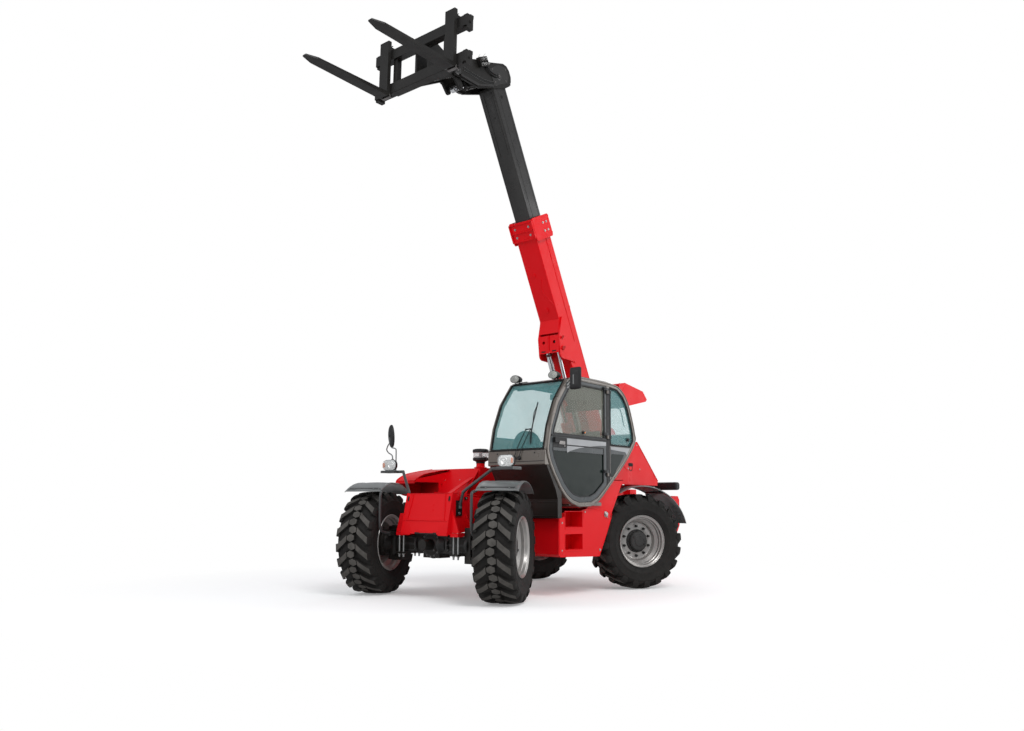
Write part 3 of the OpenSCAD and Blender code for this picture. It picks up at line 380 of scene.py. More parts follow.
    def done(self, name, mats, body="chassis", at=WB, bevel=0.0, smooth=35, stands_for=(), slot=None, seg=2):
        mesh = bpy.data.meshes.new(name)
        bmesh.ops.remove_doubles(self.bm, verts=self.bm.verts, dist=1e-6)
        bmesh.ops.recalc_face_normals(self.bm, faces=self.bm.faces)
        self.bm.transform(at)
        if at.determinant() < 0:
            bmesh.ops.reverse_faces(self.bm, faces=self.bm.faces)
        self.bm.to_mesh(mesh)
        self.bm.free()
        obj = bpy.data.objects.new(name, mesh)
        bpy.context.scene.collection.objects.link(obj)
        for m in mats if isinstance(mats, (list, tuple)) else [mats]:
            mesh.materials.append(m)
        if bevel:
            round_edges(obj, bevel, seg, 35)
        for p in mesh.polygons:
            p.use_smooth = True
        flat_by_angle(obj, smooth)
        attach(obj, body)
        if stands_for:
            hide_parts(*stands_for)
        return obj


def round_edges(obj, width, seg, limit):
    """Rounds the edges that are sharper than the limit in degrees."""
    mod = obj.modifiers.new("Bevel", "BEVEL")
    mod.width = width
    mod.segments = seg
    mod.limit_method = "ANGLE"
    mod.angle_limit = radians(limit)
    mod.harden_normals = True


def flat_by_angle(obj, limit):
    """Keeps corners sharper than the limit in degrees crisp."""
    bm = bmesh.new()
    bm.from_mesh(obj.data)
    for e in bm.edges:
        e.smooth = len(e.link_faces) == 2 and e.calc_face_angle(0) < radians(limit)
    bm.to_mesh(obj.data)
    bm.free()


def smooth_path(pts, close, per=6):
    """Catmull-Rom points through the given ones."""
    n = len(pts)
    if n < 3:
        return pts
    out = []
    for i in range(n if close else n - 1):
        p = [pts[(i + k) % n] if close else pts[min(max(i + k, 0), n - 1)] for k in (-1, 0, 1, 2)]
        for s in range(per):
            t = s / per
            out.append(0.5 * ((2 * p[1]) + (p[2] - p[0]) * t + (2 * p[0] - 5 * p[1] + 4 * p[2] - p[3]) * t * t
                              + (3 * p[1] - p[0] - 3 * p[2] + p[3]) * t ** 3))
    if not close:
        out.append(pts[-1])
    return out


def inset(poly, d):
    """Each corner of a counter-clockwise outline moved inward by d."""
    out = []
    n = len(poly)
    for i in range(n):
        a, b, c = (V((*poly[(i + k) % n], 0)) for k in (-1, 0, 1))
        u, v = (b - a).normalized(), (c - b).normalized()
        nu = V((-u.y, u.x, 0))
        m = V((-u.y - v.y, u.x + v.x, 0)).normalized()
        q = b + m * d / max(0.2, m.dot(nu))
        out.append((q.x, q.y))
    return out


def cover(name, m):
    nodes[name].data.materials.clear()
    nodes[name].data.materials.append(m)


def paint(names, m):
    """One material for CAD nodes, and a fine round along their edges."""
    for n in names:
        cover(n, m)
        round_edges(nodes[n], 0.003, 2, 40)


# ---------------------------------------------------------------- camera, light, floor
cam_data = bpy.data.cameras.new("camera")
cam = bpy.data.objects.new("camera", cam_data)
bpy.context.scene.collection.objects.link(cam)
# focal length, image size and the point that the camera faces, in pixels, and where it stands
FOCAL, IMAGE, FACED = 883.5, (1024, 731), (507.6, 404.4)
STAND = V((8.65 - MID, 7.3, 1.045))
cam_data.sensor_width = 36
cam_data.lens = FOCAL * 36 / IMAGE[0]
cam_data.shift_x = (IMAGE[0] / 2 - FACED[0]) / IMAGE[0]
cam_data.shift_y = (FACED[1] - IMAGE[1] / 2) / IMAGE[0]
cam_data.clip_end = 500
yaw, pitch, roll = radians(40.74), radians(6.59), radians(0.32)
ahead = V((-cos(yaw) * cos(pitch), -sin(yaw) * cos(pitch), sin(pitch)))
cam.matrix_world = (Matrix.Translation(STAND) @ ahead.to_track_quat("-Z", "Y").to_matrix().to_4x4()
                    @ Matrix.Rotation(roll, 4, "Z"))
bpy.context.scene.camera = cam


def area_light(name, at, aim, size, power):
    d = bpy.data.lights.new(name, "AREA")
    d.shape = "RECTANGLE"
    d.size, d.size_y = size
    d.energy = power
    o = bpy.data.objects.new(name, d)
    bpy.context.scene.collection.objects.link(o)
    o.location = at
    o.rotation_mode = "QUATERNION"
    o.rotation_quaternion = (V(aim) - V(at)).to_track_quat("-Z", "Y")


area_light("key", (5, 10, 12), (0, 0, 1.8), (6, 6), 980)
area_light("side", (-9, 8, 5), (0, 0, 2.2), (9, 8), 420)
area_light("fill", (11, -4, 6), (0, 0, 1.8), (7, 7), 300)
area_light("back", (-9, -4, 9), (0, 0, 2), (7, 7), 160)

world = bpy.data.worlds.new("studio")
bpy.context.scene.world = world
world.use_nodes = True
wt = world.node_tree
# the camera sees white, and so does what is seen through glass, but the light on the object is dimmer
path = wt.nodes.new("ShaderNodeLightPath")
seen = fed(wt, node_of(wt, "ShaderNodeMath", operation="MAXIMUM"), path.outputs["Is Camera Ray"],
           path.outputs["Is Transmission Ray"])
dim = node_of(wt, "ShaderNodeBackground", Strength=0.5, Color=(0.94, 0.96, 1, 1))
white = node_of(wt, "ShaderNodeBackground", Strength=1.0, Color=(1, 1, 1, 1))
sky = fed(wt, node_of(wt, "ShaderNodeMixShader"), seen, dim.outputs[0], white.outputs[0])
wt.links.new(sky, wt.nodes["World Output"].inputs["Surface"])
bpy.context.scene.view_settings.view_transform = "Standard"

floor_mesh = bpy.data.meshes.new("floor")
floor_mesh.from_pydata([(-60, -60, 0), (60, -60, 0), (60, 60, 0), (-60, 60, 0)], [], [(0, 1, 2, 3)])
floor = bpy.data.objects.new("floor", floor_mesh)
bpy.context.scene.collection.objects.link(floor)
fm = bpy.data.materials.new("floor_white")
fm.use_nodes = True
ft = fm.node_tree
fb = ft.nodes["Principled BSDF"]
fb.inputs["Base Color"].default_value = (0.9, 0.9, 0.9, 1)
fb.inputs["Roughness"].default_value = 0.9
fb.inputs["Specular IOR Level"].default_value = 0.1
# lit near the object, plain white from 5.5 m on, and a duller white in reflections
path = ft.nodes.new("ShaderNodeLightPath")
geo = ft.nodes.new("ShaderNodeNewGeometry")
dist = node_of(ft, "ShaderNodeVectorMath", operation="LENGTH")
ft.links.new(geo.outputs["Position"], dist.inputs[0])
far = node_of(ft, "ShaderNodeMapRange", **{"From Min": 3.2, "From Max": 5.5})
ft.links.new(dist.outputs["Value"], far.inputs["Value"])
glow = node_of(ft, "ShaderNodeEmission", Strength=1.0)
lift = node_of(ft, "ShaderNodeEmission", Strength=0.22)
lit = fed(ft, ft.nodes.new("ShaderNodeAddShader"), fb.outputs[0], lift.outputs[0])
seen = fed(ft, node_of(ft, "ShaderNodeMixShader"), far.outputs[0], lit, glow.outputs[0])
bounce = node_of(ft, "ShaderNodeBsdfDiffuse", Color=(0.7, 0.7, 0.7, 1))
shown = fed(ft, node_of(ft, "ShaderNodeMixShader"), path.outputs["Is Camera Ray"], bounce.outputs[0], seen)
ft.links.new(shown, ft.nodes["Material Output"].inputs["Surface"])
floor.data.materials.append(fm)

# ---------------------------------------------------------------- carried-over CAD nodes
paint(["chassis", "body_left", "counterweight", "engine_hood", "rear_cowl", "boom_outer", "lift_barrel",
       "comp_barrel"], RED)
paint(["front_axle", "rear_axle", "tilt_barrel", "boom_head", "carriage", "forks"], BLACK)
paint(["cab_frame", "cab_front_panel", "cab_door"], CAB)
paint(["cab_roof", "air_intake", "wiper", "mirrors", "steering_column"], PLASTIC)
paint(["lamp_arms"] + ["knuckle_" + w for w in WHEELS], TUBE)
paint(["engine_block"], ENGINE)
paint(["lift_rod", "comp_rod", "tilt_rod"], CHROME)
paint(["lamps"], LAMP)
paint(["rim_" + w for w in WHEELS], RIM)
paint(["tyre_" + w for w in WHEELS], RUBBER)
paint(["seat"], CLOTH)
cover("cab_glass", GLASS)
cover("windscreen", GLASS)
cover("door_glass", DOOR_GLASS)

# ---------------------------------------------------------------- wheels
TYRE_R = 0.61
LUGS = 20
# how far the first lug stands from the top of the tread, in metres round it
LUG_START = 0.0274


def crown(y):
    """Radius of the lug tips across the tread."""
    y = abs(y)
    return TYRE_R - 0.0035 - 0.02 * max(0, (y - 0.05) / 0.18) ** 2


def on_tread(s, y, r):
    """A point s metres round the tread from the top, at a radius."""
    a = s / TYRE_R
    return V((r * sin(a), y, r * cos(a)))


def tread_block(m, cells, depth, draft=0.01):
    """A raised block from a row of (y, s low, s high) stations, its sides sloping out to the base."""
    rows = []
    last = len(cells) - 1
    for i, (y, a, b) in enumerate(cells):
        top = crown(y)
        e = draft if i in (0, last) else 0
        sy = 1 if (cells[-1][0] > cells[0][0]) else -1
        yb = y + (-e * sy if i == 0 else e * sy if i == last else 0)
        rows.append([on_tread(a - draft, yb, top - depth), on_tread(a, y, top), on_tread((a + b) / 2, y, top + 0.0015),
                     on_tread(b, y, top), on_tread(b + draft, yb, top - depth)])
    n = len(rows)
    pts = [p for r in rows for p in r]
    fs = []
    for i in range(n - 1):
        fs += [(i * 5 + k, i * 5 + k + 1, (i + 1) * 5 + k + 1, (i + 1) * 5 + k) for k in range(4)]
        fs.append((i * 5 + 4, i * 5, (i + 1) * 5, (i + 1) * 5 + 4))
    fs += [(0, 1, 2, 3, 4), tuple((n - 1) * 5 + k for k in (4, 3, 2, 1, 0))]
    m.faces(pts, fs, [1 if k in (1, 2) and i < n - 1 else 0 for i in range(n - 1) for k in range(5)] + [0, 0])


def tyre(name):
    """Carcass with swept shoulder lugs and a zigzag row of six-sided blocks between them."""
    m = Mesh()
    base = 0.042
    # carcass, from the bead over the sidewall to the crown
    half = [(0.312, 0.186), (0.344, 0.196), (0.352, 0.203), (0.362, 0.203), (0.37, 0.208), (0.4, 0.217),
            (0.408, 0.2205),
            (0.415, 0.219), (0.45, 0.2245), (0.485, 0.2235), (0.5, 0.2255), (0.507, 0.221), (0.53, 0.213),
            (0.548, 0.196), (0.56, 0.165), (0.567, 0.1)]
    m.lathe([(r, -y) for r, y in half] + [(0.569, 0)] + half[::-1] + [(0.305, 0.0)], seg=120)
    pitch = 2 * pi * TYRE_R / LUGS
    for k in range(LUGS):
        for side in (-1, 1):
            s0 = k * pitch + (pitch / 2 if side > 0 else 0) + LUG_START
            # block beside the middle of the tread
            mid = side * 0.009
            cells = [(mid - side * 0.046, s0 - 0.026, s0 + 0.02), (mid, s0 - 0.046, s0 + 0.046),
                     (mid + side * 0.046, s0 - 0.02, s0 + 0.026)]
            tread_block(m, cells, base - 0.006, 0.004)
            # long swept bar, thicker at the shoulder
            cells = []
            for j in range(6):
                t = j / 5
                y = 0.063 + 0.137 * t
                mid = s0 + 0.006 + 0.118 * t ** 0.92
                w = 0.037 - 0.003 * sin(pi * t) + 0.003 * t
                cells.append((side * y, mid - w, mid + w))
            tread_block(m, cells, base, 0.011)
            # the bar's foot on the sidewall
            a, b = cells[-1][1] - 0.004, cells[-1][2] + 0.006
            foot = []
            for r, y, grow in ((crown(0.2), 0.2, 0), (0.578, 0.214, 0.002), (0.56, 0.2235, 0.004), (0.535, 0.2265, 0.0),
                               (0.508, 0.2235, -0.014)):
                foot.append([on_tread(a - grow, side * y, r), on_tread(b + grow, side * y, r),
                             on_tread(b + grow + 0.006, side * (y - 0.03), r - 0.012),
                             on_tread(a - grow - 0.006, side * (y - 0.03), r - 0.012)])
            m.loft(foot)
    m.done("tread_" + name, [RUBBER, TREAD], "wheel_" + name, wheel(name), bevel=0.0014, smooth=24,
           stands_for=["tyre_" + name], slot="tyre")


def rim(name):
    """Steel rim: rolled flanges, stepped well, dished disc with nuts, and the black planetary hub."""
    m = Mesh()
    m.lathe([(0.33, -0.205), (0.3345, -0.199), (0.331, -0.192), (0.322, -0.19), (0.315, -0.183), (0.3075, -0.15),
             (0.3, -0.146), (0.298, -0.12), (0.262, -0.094), (0.256, 0.0), (0.262, 0.07), (0.298, 0.106),
             (0.3, 0.146), (0.3075, 0.15), (0.315, 0.183), (0.322, 0.19), (0.331, 0.192), (0.3345, 0.199),
             (0.33, 0.205), (0.3245, 0.202), (0.3205, 0.196), (0.3115, 0.192), (0.3045, 0.186), (0.2965, 0.157),
             (0.2885, 0.152), (0.2865, 0.118), (0.251, 0.083), (0.244, 0.03), (0.236, 0.026), (0.236, 0.014),
             (0.2455, 0.01), (0.2455, -0.088), (0.285, -0.118), (0.288, -0.15), (0.2965, -0.157), (0.3045, -0.186),
             (0.3205, -0.196), (0.3245, -0.202)], seg=96)
    # dished disc
    m.lathe([(0.2475, 0.034), (0.243, 0.044), (0.228, 0.047), (0.214, 0.04), (0.165, 0.04), (0.152, 0.046),
             (0.06, 0.046), (0.06, 0.022), (0.152, 0.022), (0.214, 0.02), (0.236, 0.02), (0.2475, 0.014)], seg=96)
    # valve
    m.cyl((0.27, 0.085, 0.0), (0.262, 0.135, 0.0), 0.0045, seg=10)
    m.done("wheel_rim_" + name, RIM, "wheel_" + name, wheel(name), smooth=28, stands_for=["rim_" + name],
           slot="rim_silver")
    h = Mesh()
    # final drive hub with ribs
    h.lathe([(0.149, 0.041), (0.15, 0.06), (0.146, 0.066), (0.134, 0.068), (0.128, 0.074), (0.122, 0.112),
             (0.112, 0.122), (0.07, 0.127), (0.062, 0.134), (0.0, 0.134)], close=False)
    for k in range(10):
        a = 2 * pi * (k + 0.5) / 10
        c, s = cos(a), sin(a)
        for y0, y1, r0, r1, n in ((0.036, 0.052, 0.019, 0.016, 20), (0.052, 0.072, 0.0145, 0.0135, 6),
                                  (0.072, 0.08, 0.008, 0.008, 12)):
            h.cyl((0.19 * c, y0, 0.19 * s), (0.19 * c, y1, 0.19 * s), r0, r1, seg=n)
    for k in range(12):
        a = 2 * pi * k / 12
        c, s = cos(a), sin(a)
        h.bolt((0.139 * c, 0.066, 0.139 * s), (0, 1, 0), 0.0075)
        h.prism([(0.1215 * cos(a + e), 0.1215 * sin(a + e)) for e in (-0.05, 0.05)]
                + [(0.132 * cos(a + e), 0.132 * sin(a + e)) for e in (0.05, -0.05)], 0.068, 0.104)
    for a in (0.6, 3.6):
        h.bolt((0.088 * cos(a), 0.124, 0.088 * sin(a)), (0, 1, 0), 0.014)
    h.done("hub_" + name, IRON, "wheel_" + name, wheel(name), bevel=0.0015, smooth=32)


def mudguard(name):
    """Crowned sheet with rolled edges on a bent stay, over the knuckle's housing."""
    fore = WHEELS[name][0]
    a0, a1 = (58, 125) if fore > 0 else (61, 161)
    g = Mesh()
    rows = []
    steps = 22
    for i in range(steps + 1):
        t = i / steps
        a = radians(a0 + (a1 - a0) * t)
        # the sheet's ends curl slightly towards the tyre
        lift = -0.004 * (abs(t - 0.5) * 2) ** 6 - (0.012 * max(0, (t - 0.6) / 0.4) ** 2 if fore < 0 else 0)
        row = []
        for y, r in ((0.013, 0.7005), (0.013, 0.709), (0.02, 0.7145), (0.055, 0.7165), (0.075, 0.7125), (0.15, 0.7165),
                     (0.25, 0.7185), (0.35, 0.7165), (0.425, 0.7125), (0.445, 0.7165), (0.478, 0.7145), (0.487, 0.709),
                     (0.487, 0.7005), (0.4835, 0.7005), (0.4835, 0.7075), (0.47, 0.7105), (0.35, 0.7105),
                     (0.25, 0.712), (0.15, 0.7105), (0.03, 0.7105), (0.0165, 0.7075), (0.0165, 0.7005)):
            q = r + lift
            row.append(V((q * cos(a), y, q * sin(a))))
        rows.append(row)
    g.loft(rows)
    # bolts where the stay lies under the sheet
    b = radians(62 if fore > 0 else 118)
    for y in (0.05, 0.12, 0.38, 0.45):
        p = V((0.7165 * cos(b), y, 0.7165 * sin(b)))
        g.bolt(p, p - V((0, y, 0)), 0.009, 0.004)
    g.done("mudguard_" + name, GREY, "knuckle_" + name, kingpin(name), smooth=40)
    s = Mesh()
    sx = 1 if fore > 0 else -1
    end = (0.709 * cos(b), 0.709 * sin(b))
    # upright part of the stay stands ahead of the yoke
    foot = [(0.1, -0.014, 0.112), (0.3, -0.014, 0.125), (0.385, -0.014, 0.165), (0.412, -0.014, 0.25),
            (0.412, -0.014, 0.5), (0.4, -0.012, 0.575)]
    s.tube([(sx * x, y, z) for x, y, z in foot] + [(end[0] * 1.05, 0.01, end[1] - 0.03),
                                                   (end[0] * 0.97, 0.06, end[1] + 0.004),
            (end[0] * 0.97, 0.2, end[1] + 0.004), (end[0] * 0.97, 0.44, end[1] + 0.004)], 0.0155, seg=14)
    s.done("mudguard_stay_" + name, TUBE, "knuckle_" + name, kingpin(name), smooth=40)
    k = Mesh()
    # knuckle body between the yoke's ears, with its bolted bearing caps and steering arm
    k.lathe([(0.0, -0.149), (0.07, -0.149), (0.074, -0.14), (0.074, 0.14), (0.07, 0.149), (0.0, 0.149)], seg=40,
            axis="z", close=False)
    for z in (-1, 1):
        k.lathe([(0.0, z * 0.196), (0.029, z * 0.196), (0.029, z * 0.14), (0.0, z * 0.14)], seg=24, axis="z",
                close=False)
        k.lathe([(0.0, z * 0.2045), (0.036, z * 0.2045), (0.04, z * 0.201), (0.04, z * 0.1965), (0.0, z * 0.1965)],
                seg=28, axis="z", close=False)
        for x, y in around(4, 0.03, pi / 4):
            k.bolt((x, y, z * 0.2045), (0, 0, z), 0.006)
    k.lathe([(0.0, 0.0), (0.098, 0.0), (0.104, 0.05), (0.118, 0.085), (0.15, 0.098), (0.158, 0.104), (0.158, 0.186),
             (0.15, 0.1895), (0.147, 0.194), (0.147, 0.246), (0.0, 0.246)], seg=56, close=False)
    for x, z in around(16, 0.149):
        k.bolt((x, 0.098, z), (0, -1, 0), 0.007)
    k.prism([(sx * -0.02, -0.03), (sx * 0.1, -0.045), (sx * 0.185, -0.035), (sx * 0.2, -0.014), (sx * 0.185, 0.008),
             (sx * 0.09, 0.018), (sx * -0.02, 0.02)], 0.085, 0.133, axis="z")
    k.bolt((sx * 0.178, -0.014, 0.133), (0, 0, 1), 0.013)
    k.done("knuckle_body_" + name, BLACK, "knuckle_" + name, kingpin(name), bevel=0.003,
           stands_for=["knuckle_" + name], slot="black")


for w in WHEELS:
    tyre(w)
    rim(w)
    mudguard(w)

# ---------------------------------------------------------------- boom
def rounded(x0, z0, x1, z1, r, per=5):
    """Outline of a box with round corners."""
    out = []
    for cx, cz, a0 in ((x1 - r, z1 - r, 0), (x0 + r, z1 - r, 90), (x0 + r, z0 + r, 180), (x1 - r, z0 + r, 270)):
        for k in range(per + 1):
            a = radians(a0 + 90 * k / per)
            out.append((cx + r * cos(a), cz + r * sin(a)))
    return out


def boom_trim():
    """Collar plates, pressed strips, weld beads and pin heads of the outer boom."""
    m = Mesh()
    for s in (-1, 1):
        m.prism(rounded(2.955, -0.352, 3.262, 0.022, 0.03), *span(s, 0.1895, 0.1985))
        # raised strip along the upper half of the side
        m.prism([(1.49, -0.112), (1.49, -0.014), (2.985, -0.014), (2.985, -0.112)], *span(s, 0.1595, 0.1655))
        m.prism([(0.3, -0.302), (0.3, -0.286), (1.2, -0.286), (1.2, -0.302)], *span(s, 0.1595, 0.1635))
        for z in (-0.318, -0.01):
            m.tube([(0.3, s * 0.1595, z), (2.985, s * 0.1595, z)], 0.005, seg=8)
        # beads round the bracket's plates
        m.tube([(1.86, s * 0.1625, -0.232), (1.27, s * 0.1625, -0.232), (1.252, s * 0.1625, -0.26)], 0.005, seg=8)
        # heel boss with its keeper plate
        m.lathe([(0.0, s * 0.1945), (0.098, s * 0.1945), (0.102, s * 0.1985), (0.098, s * 0.2005), (0.046, s * 0.2005)],
                seg=48, close=False)
    # flanges round the collar's lower face and its middle rib
    for x in (2.996, 3.112, 3.226):
        m.box((x, -0.196, -0.376), (x + 0.014, 0.196, -0.352))
    for s in (-1, 1):
        m.prism([(2.996, -0.376), (2.996, -0.352), (3.24, -0.352), (3.24, -0.376)], *span(s, 0.182, 0.196))
    m.box((3.226, -0.192, 0.024), (3.24, 0.192, 0.038))
    m.box((2.996, -0.192, 0.024), (3.01, 0.192, 0.038))
    # lifting eye on the top face
    m.tube([(1.95 + x, 0.1, 0.028 + z) for x, z in around(12, 0.045)], 0.008, close=True)
    m.box((1.925, 0.088, -0.006), (1.975, 0.112, 0.004))
    # bosses and the wide stiffener below
    m.lathe([(0.0, 0.0), (0.036, 0.0), (0.036, 0.008), (0.03, 0.012), (0.018, 0.012), (0.016, 0.004), (0.0, 0.004)],
            seg=32, at=(2.02, 0.0, -0.336), axis="z", close=False)
    m.lathe([(0.0, 0.0), (0.03, 0.0), (0.03, 0.008), (0.024, 0.012), (0.0, 0.012)], seg=32, at=(2.52, -0.05, -0.336),
            axis="z", close=False)
    m.tube([(2.45, 0.06, -0.3255), (2.3, 0.02, -0.3255), (2.08, 0.15, -0.3255)], 0.004, seg=8)
    m.done("boom_trim", RED, "boom", BOOM, bevel=0.002)

    b = Mesh()
    for s in (-1, 1):
        for x in (3.055, 3.165):
            for z in (-0.06, -0.135):
                b.bolt((x, s * 0.1985, z), (0, s, 0), 0.012)
    for x in (3.06, 3.17):
        for y in (-0.115, 0.115):
            b.bolt((x, y, -0.354), (0, 0, -1), 0.012)
            b.bolt((x, y, 0.026), (0, 0, 1), 0.012)
    # heads and keepers of the bracket's pins, in the darker red of painted shade
    b.mat = 1
    for s in (-1, 1):
        for (x, z), r in ((LIFT_PIN, 0.027), (LEVEL_PIN, 0.019)):
            b.cyl((x, s * 0.196, z), (x, s * 0.2015, z), r, seg=32)
            y0, y1 = span(s, 0.1845, 0.19)
            b.box((x - 0.012, y0, z + r * 0.9), (x + 0.012, y1, z + r * 0.9 + 0.035))
            b.bolt((x, s * 0.19, z + r * 0.9 + 0.024), (0, s, 0), 0.006)
    b.done("boom_bolts", [ZINC, RED_PAINTED_SHADE], "boom", BOOM)

    p = Mesh()
    # front plate of the bracket: two panels with round holes and slots beside a middle rib
    a, c = V((1.47, 0, -0.522)), V((1.688, 0, -0.416))
    d = (c - a).normalized()
    up = V((d.z, 0, -d.x))
    frame_m = Matrix(((d.x, 0, up.x, a.x), (0, 1, 0, 0), (d.z, 0, up.z, a.z), (0, 0, 0, 1)))
    length = (c - a).length
    for s in (-1, 1):
        p.ring([(x, s * y) for x, y in rounded(0.0, 0.01, length, 0.172, 0.004, 1)],
               [(length * 0.62 + x, s * (0.09 + y)) for x, y in around(8, 0.024)], 0.001, 0.01, axis="z")
    p.prism([(0.0, 0.008), (length, 0.008), (length, 0.024), (0.0, 0.024)], -0.006, 0.006)
    p.move(0, frame_m)
    # black discs over two holes in the side and black sheets over the plate's slots: painted shade of the openings
    p.mat = 1
    for s in (-1, 1):
        for x, z in ((1.76, -0.248), (1.427, -0.239)):
            p.cyl((x, s * 0.159, z), (x, s * 0.1638, z), 0.011, seg=16)
        p.loft([[frame_m @ V((x, s * y, t)) for x, y in rounded(0.018, 0.055, 0.036, 0.128, 0.008, 3)]
                for t in (0.0095, 0.0115)])
    p.done("bracket_plate", [RED, SEAL_AND_SLOT_SHADE], "boom", BOOM, bevel=0.0015)


def inner_trim():
    """The inner boom with round corners and two grooves pressed in each side, its strips and its plugs."""
    t = Mesh()
    side = [(0.113, -0.294), (0.119, -0.2924), (0.1234, -0.288), (0.125, -0.282), (0.125, -0.253), (0.122, -0.249),
            (0.122, -0.213),
            (0.125, -0.209), (0.125, -0.119), (0.122, -0.115), (0.122, -0.079), (0.125, -0.075), (0.125, -0.046),
            (0.1234, -0.04), (0.119, -0.0356), (0.113, -0.034)]
    ring = side + [(-y, z) for y, z in side[::-1]]
    t.prism(ring, 1.2, 4.96, axis="x")
    t.done("inner_boom_tube", BOOM_BLACK, "inner_boom", BOOM, bevel=0.0006, stands_for=["boom_inner"])
    m = Mesh()
    m.box((4.13, -0.085, -0.2985), (4.93, -0.055, -0.2935))
    m.box((4.13, 0.055, -0.2985), (4.93, 0.085, -0.2935))
    m.box((4.6, -0.03, -0.3), (4.625, 0.03, -0.2935))
    m.done("inner_boom_strips", BOOM_BLACK, "inner_boom", BOOM, bevel=0.0008)
    d = Mesh()
    for s in (-1, 1):
        d.lathe([(0.0, s * 0.1256), (0.014, s * 0.1256), (0.0165, s * 0.1275), (0.02, s * 0.1275), (0.021, s * 0.1245)],
                seg=28, at=(4.84, 0, -0.165), close=False)
    d.done("inner_boom_plugs", SEAL_AND_SLOT_SHADE, "inner_boom", BOOM)


# middle of the long slot in the gooseneck's side
SLOT_PATH = [(5.245, -0.795), (5.137, -0.61), (5.058, -0.455), (5.02, -0.3), (5.005, -0.22)]


def beside(line, off):
    """A line in X and Z moved sideways, to the left of its direction."""
    out = []
    for i, (x, z) in enumerate(line):
        a, b = line[max(i - 1, 0)], line[min(i + 1, len(line) - 1)]
        t = V((b[0] - a[0], b[1] - a[1])).normalized()
        out.append((x - t.y * off, z + t.x * off))
    return out


def head_trim():
    """Long slots, flange strips, pins and couplers of the gooseneck."""
    m = Mesh()
    for s in (-1, 1):
        # flange strip that follows the plate's lower edge
        strip = [(5.175, -0.905), (5.02, -0.61), (4.985, -0.33)]
        for a, b in zip(strip, strip[1:]):
            n = V((-(b[1] - a[1]), 0, b[0] - a[0])).normalized() * 0.012
            m.prism([(a[0] - n.x, a[1] - n.z), (a[0] + n.x, a[1] + n.z), (b[0] + n.x, b[1] + n.z),
                     (b[0] - n.x, b[1] - n.z)], *span(s, 0.1495, 0.18))
        # lips round the long slot
        for off in (-0.02, 0.02):
            m.tube([(x, s * 0.151, z) for x, z in beside(SLOT_PATH, off)], 0.0045, seg=8)
        # bosses of the pins
        m.lathe([(0.026, s * 0.1495), (0.07, s * 0.1495), (0.07, s * 0.158), (0.064, s * 0.1615), (0.026, s * 0.1615)],
                seg=40, at=(HEAD_PIN[0], 0, HEAD_PIN[1]))
        m.lathe([(0.021, s * 0.1495), (0.05, s * 0.1495), (0.05, s * 0.156), (0.045, s * 0.159), (0.021, s * 0.159)],
                seg=36, at=(TILT_PIN[0], 0, TILT_PIN[1]))
        # doubling plate near the boom's end
        m.prism([(4.99, -0.29), (5.2, -0.29), (5.235, -0.1), (5.18, 0.055), (5.06, 0.055), (4.99, -0.01)],
                *span(s, 0.1495, 0.1555))
    m.done("head_trim", BOOM_BLACK, "inner_boom", BOOM, bevel=0.0015)

    d = Mesh()
    # black sheet over each long slot: painted shade of the opening
    for s in (-1, 1):
        d.prism(beside(SLOT_PATH, 0.018) + beside(SLOT_PATH, -0.018)[::-1], *span(s, 0.1495, 0.1508))
    d.done("head_slots", SEAL_AND_SLOT_SHADE, "inner_boom", BOOM)

    b = Mesh()
    for s in (-1, 1):
        for (x, z), r in ((HEAD_PIN, 0.025), (TILT_PIN, 0.02)):
            b.cyl((x, s * 0.1622, z), (x, s * 0.1665, z), r * 0.94, seg=28)
            b.bolt((x, s * 0.1665, z), (0, s, 0), 0.008)
        for x, z in ((5.03, -0.25), (5.19, -0.24), (5.16, 0.02), (5.02, -0.03)):
            b.bolt((x, s * 0.1555, z), (0, s, 0), 0.008)
    b.done("head_bolts", STEEL, "inner_boom", BOOM)

    # quick couplers on their block
    c = Mesh()
    for x, z in ((5.252, -0.372), (5.252, -0.425), (5.252, -0.474), (5.312, -0.395), (5.312, -0.452)):
        for y0, y1, r, n in ((0.2045, 0.2085, 0.019, 6), (0.2085, 0.222, 0.0155, 20), (0.222, 0.226, 0.0175, 20),
                             (0.226, 0.238, 0.0125, 20), (0.238, 0.2405, 0.007, 14)):
            c.cyl((x, y0, z), (x, y1, z), r, seg=n)
    for z in (-0.372, -0.474):
        c.tube([(5.345, 0.178, z), (5.365, 0.182, z + 0.004), (5.376, 0.19, z + 0.03)], 0.003, seg=8)
    c.mat = 1
    for x, z in ((5.282, -0.36), (5.282, -0.41), (5.282, -0.462), (5.33, -0.425)):
        c.cyl((x, 0.2045, z), (x, 0.216, z), 0.009, seg=12)
    c.tube([(5.24, 0.15, -0.35), (5.215, 0.162, -0.33), (5.17, 0.16, -0.3), (5.12, 0.158, -0.22), (5.11, 0.157, -0.17)],
           0.008)
    c.tube([(5.24, 0.15, -0.372), (5.205, 0.168, -0.355), (5.145, 0.166, -0.32), (5.095, 0.164, -0.24),
            (5.085, 0.16, -0.19)], 0.008)
    c.done("couplers", [ZINC, SEAL_AND_SLOT_SHADE], "inner_boom", BOOM, bevel=0.0008)


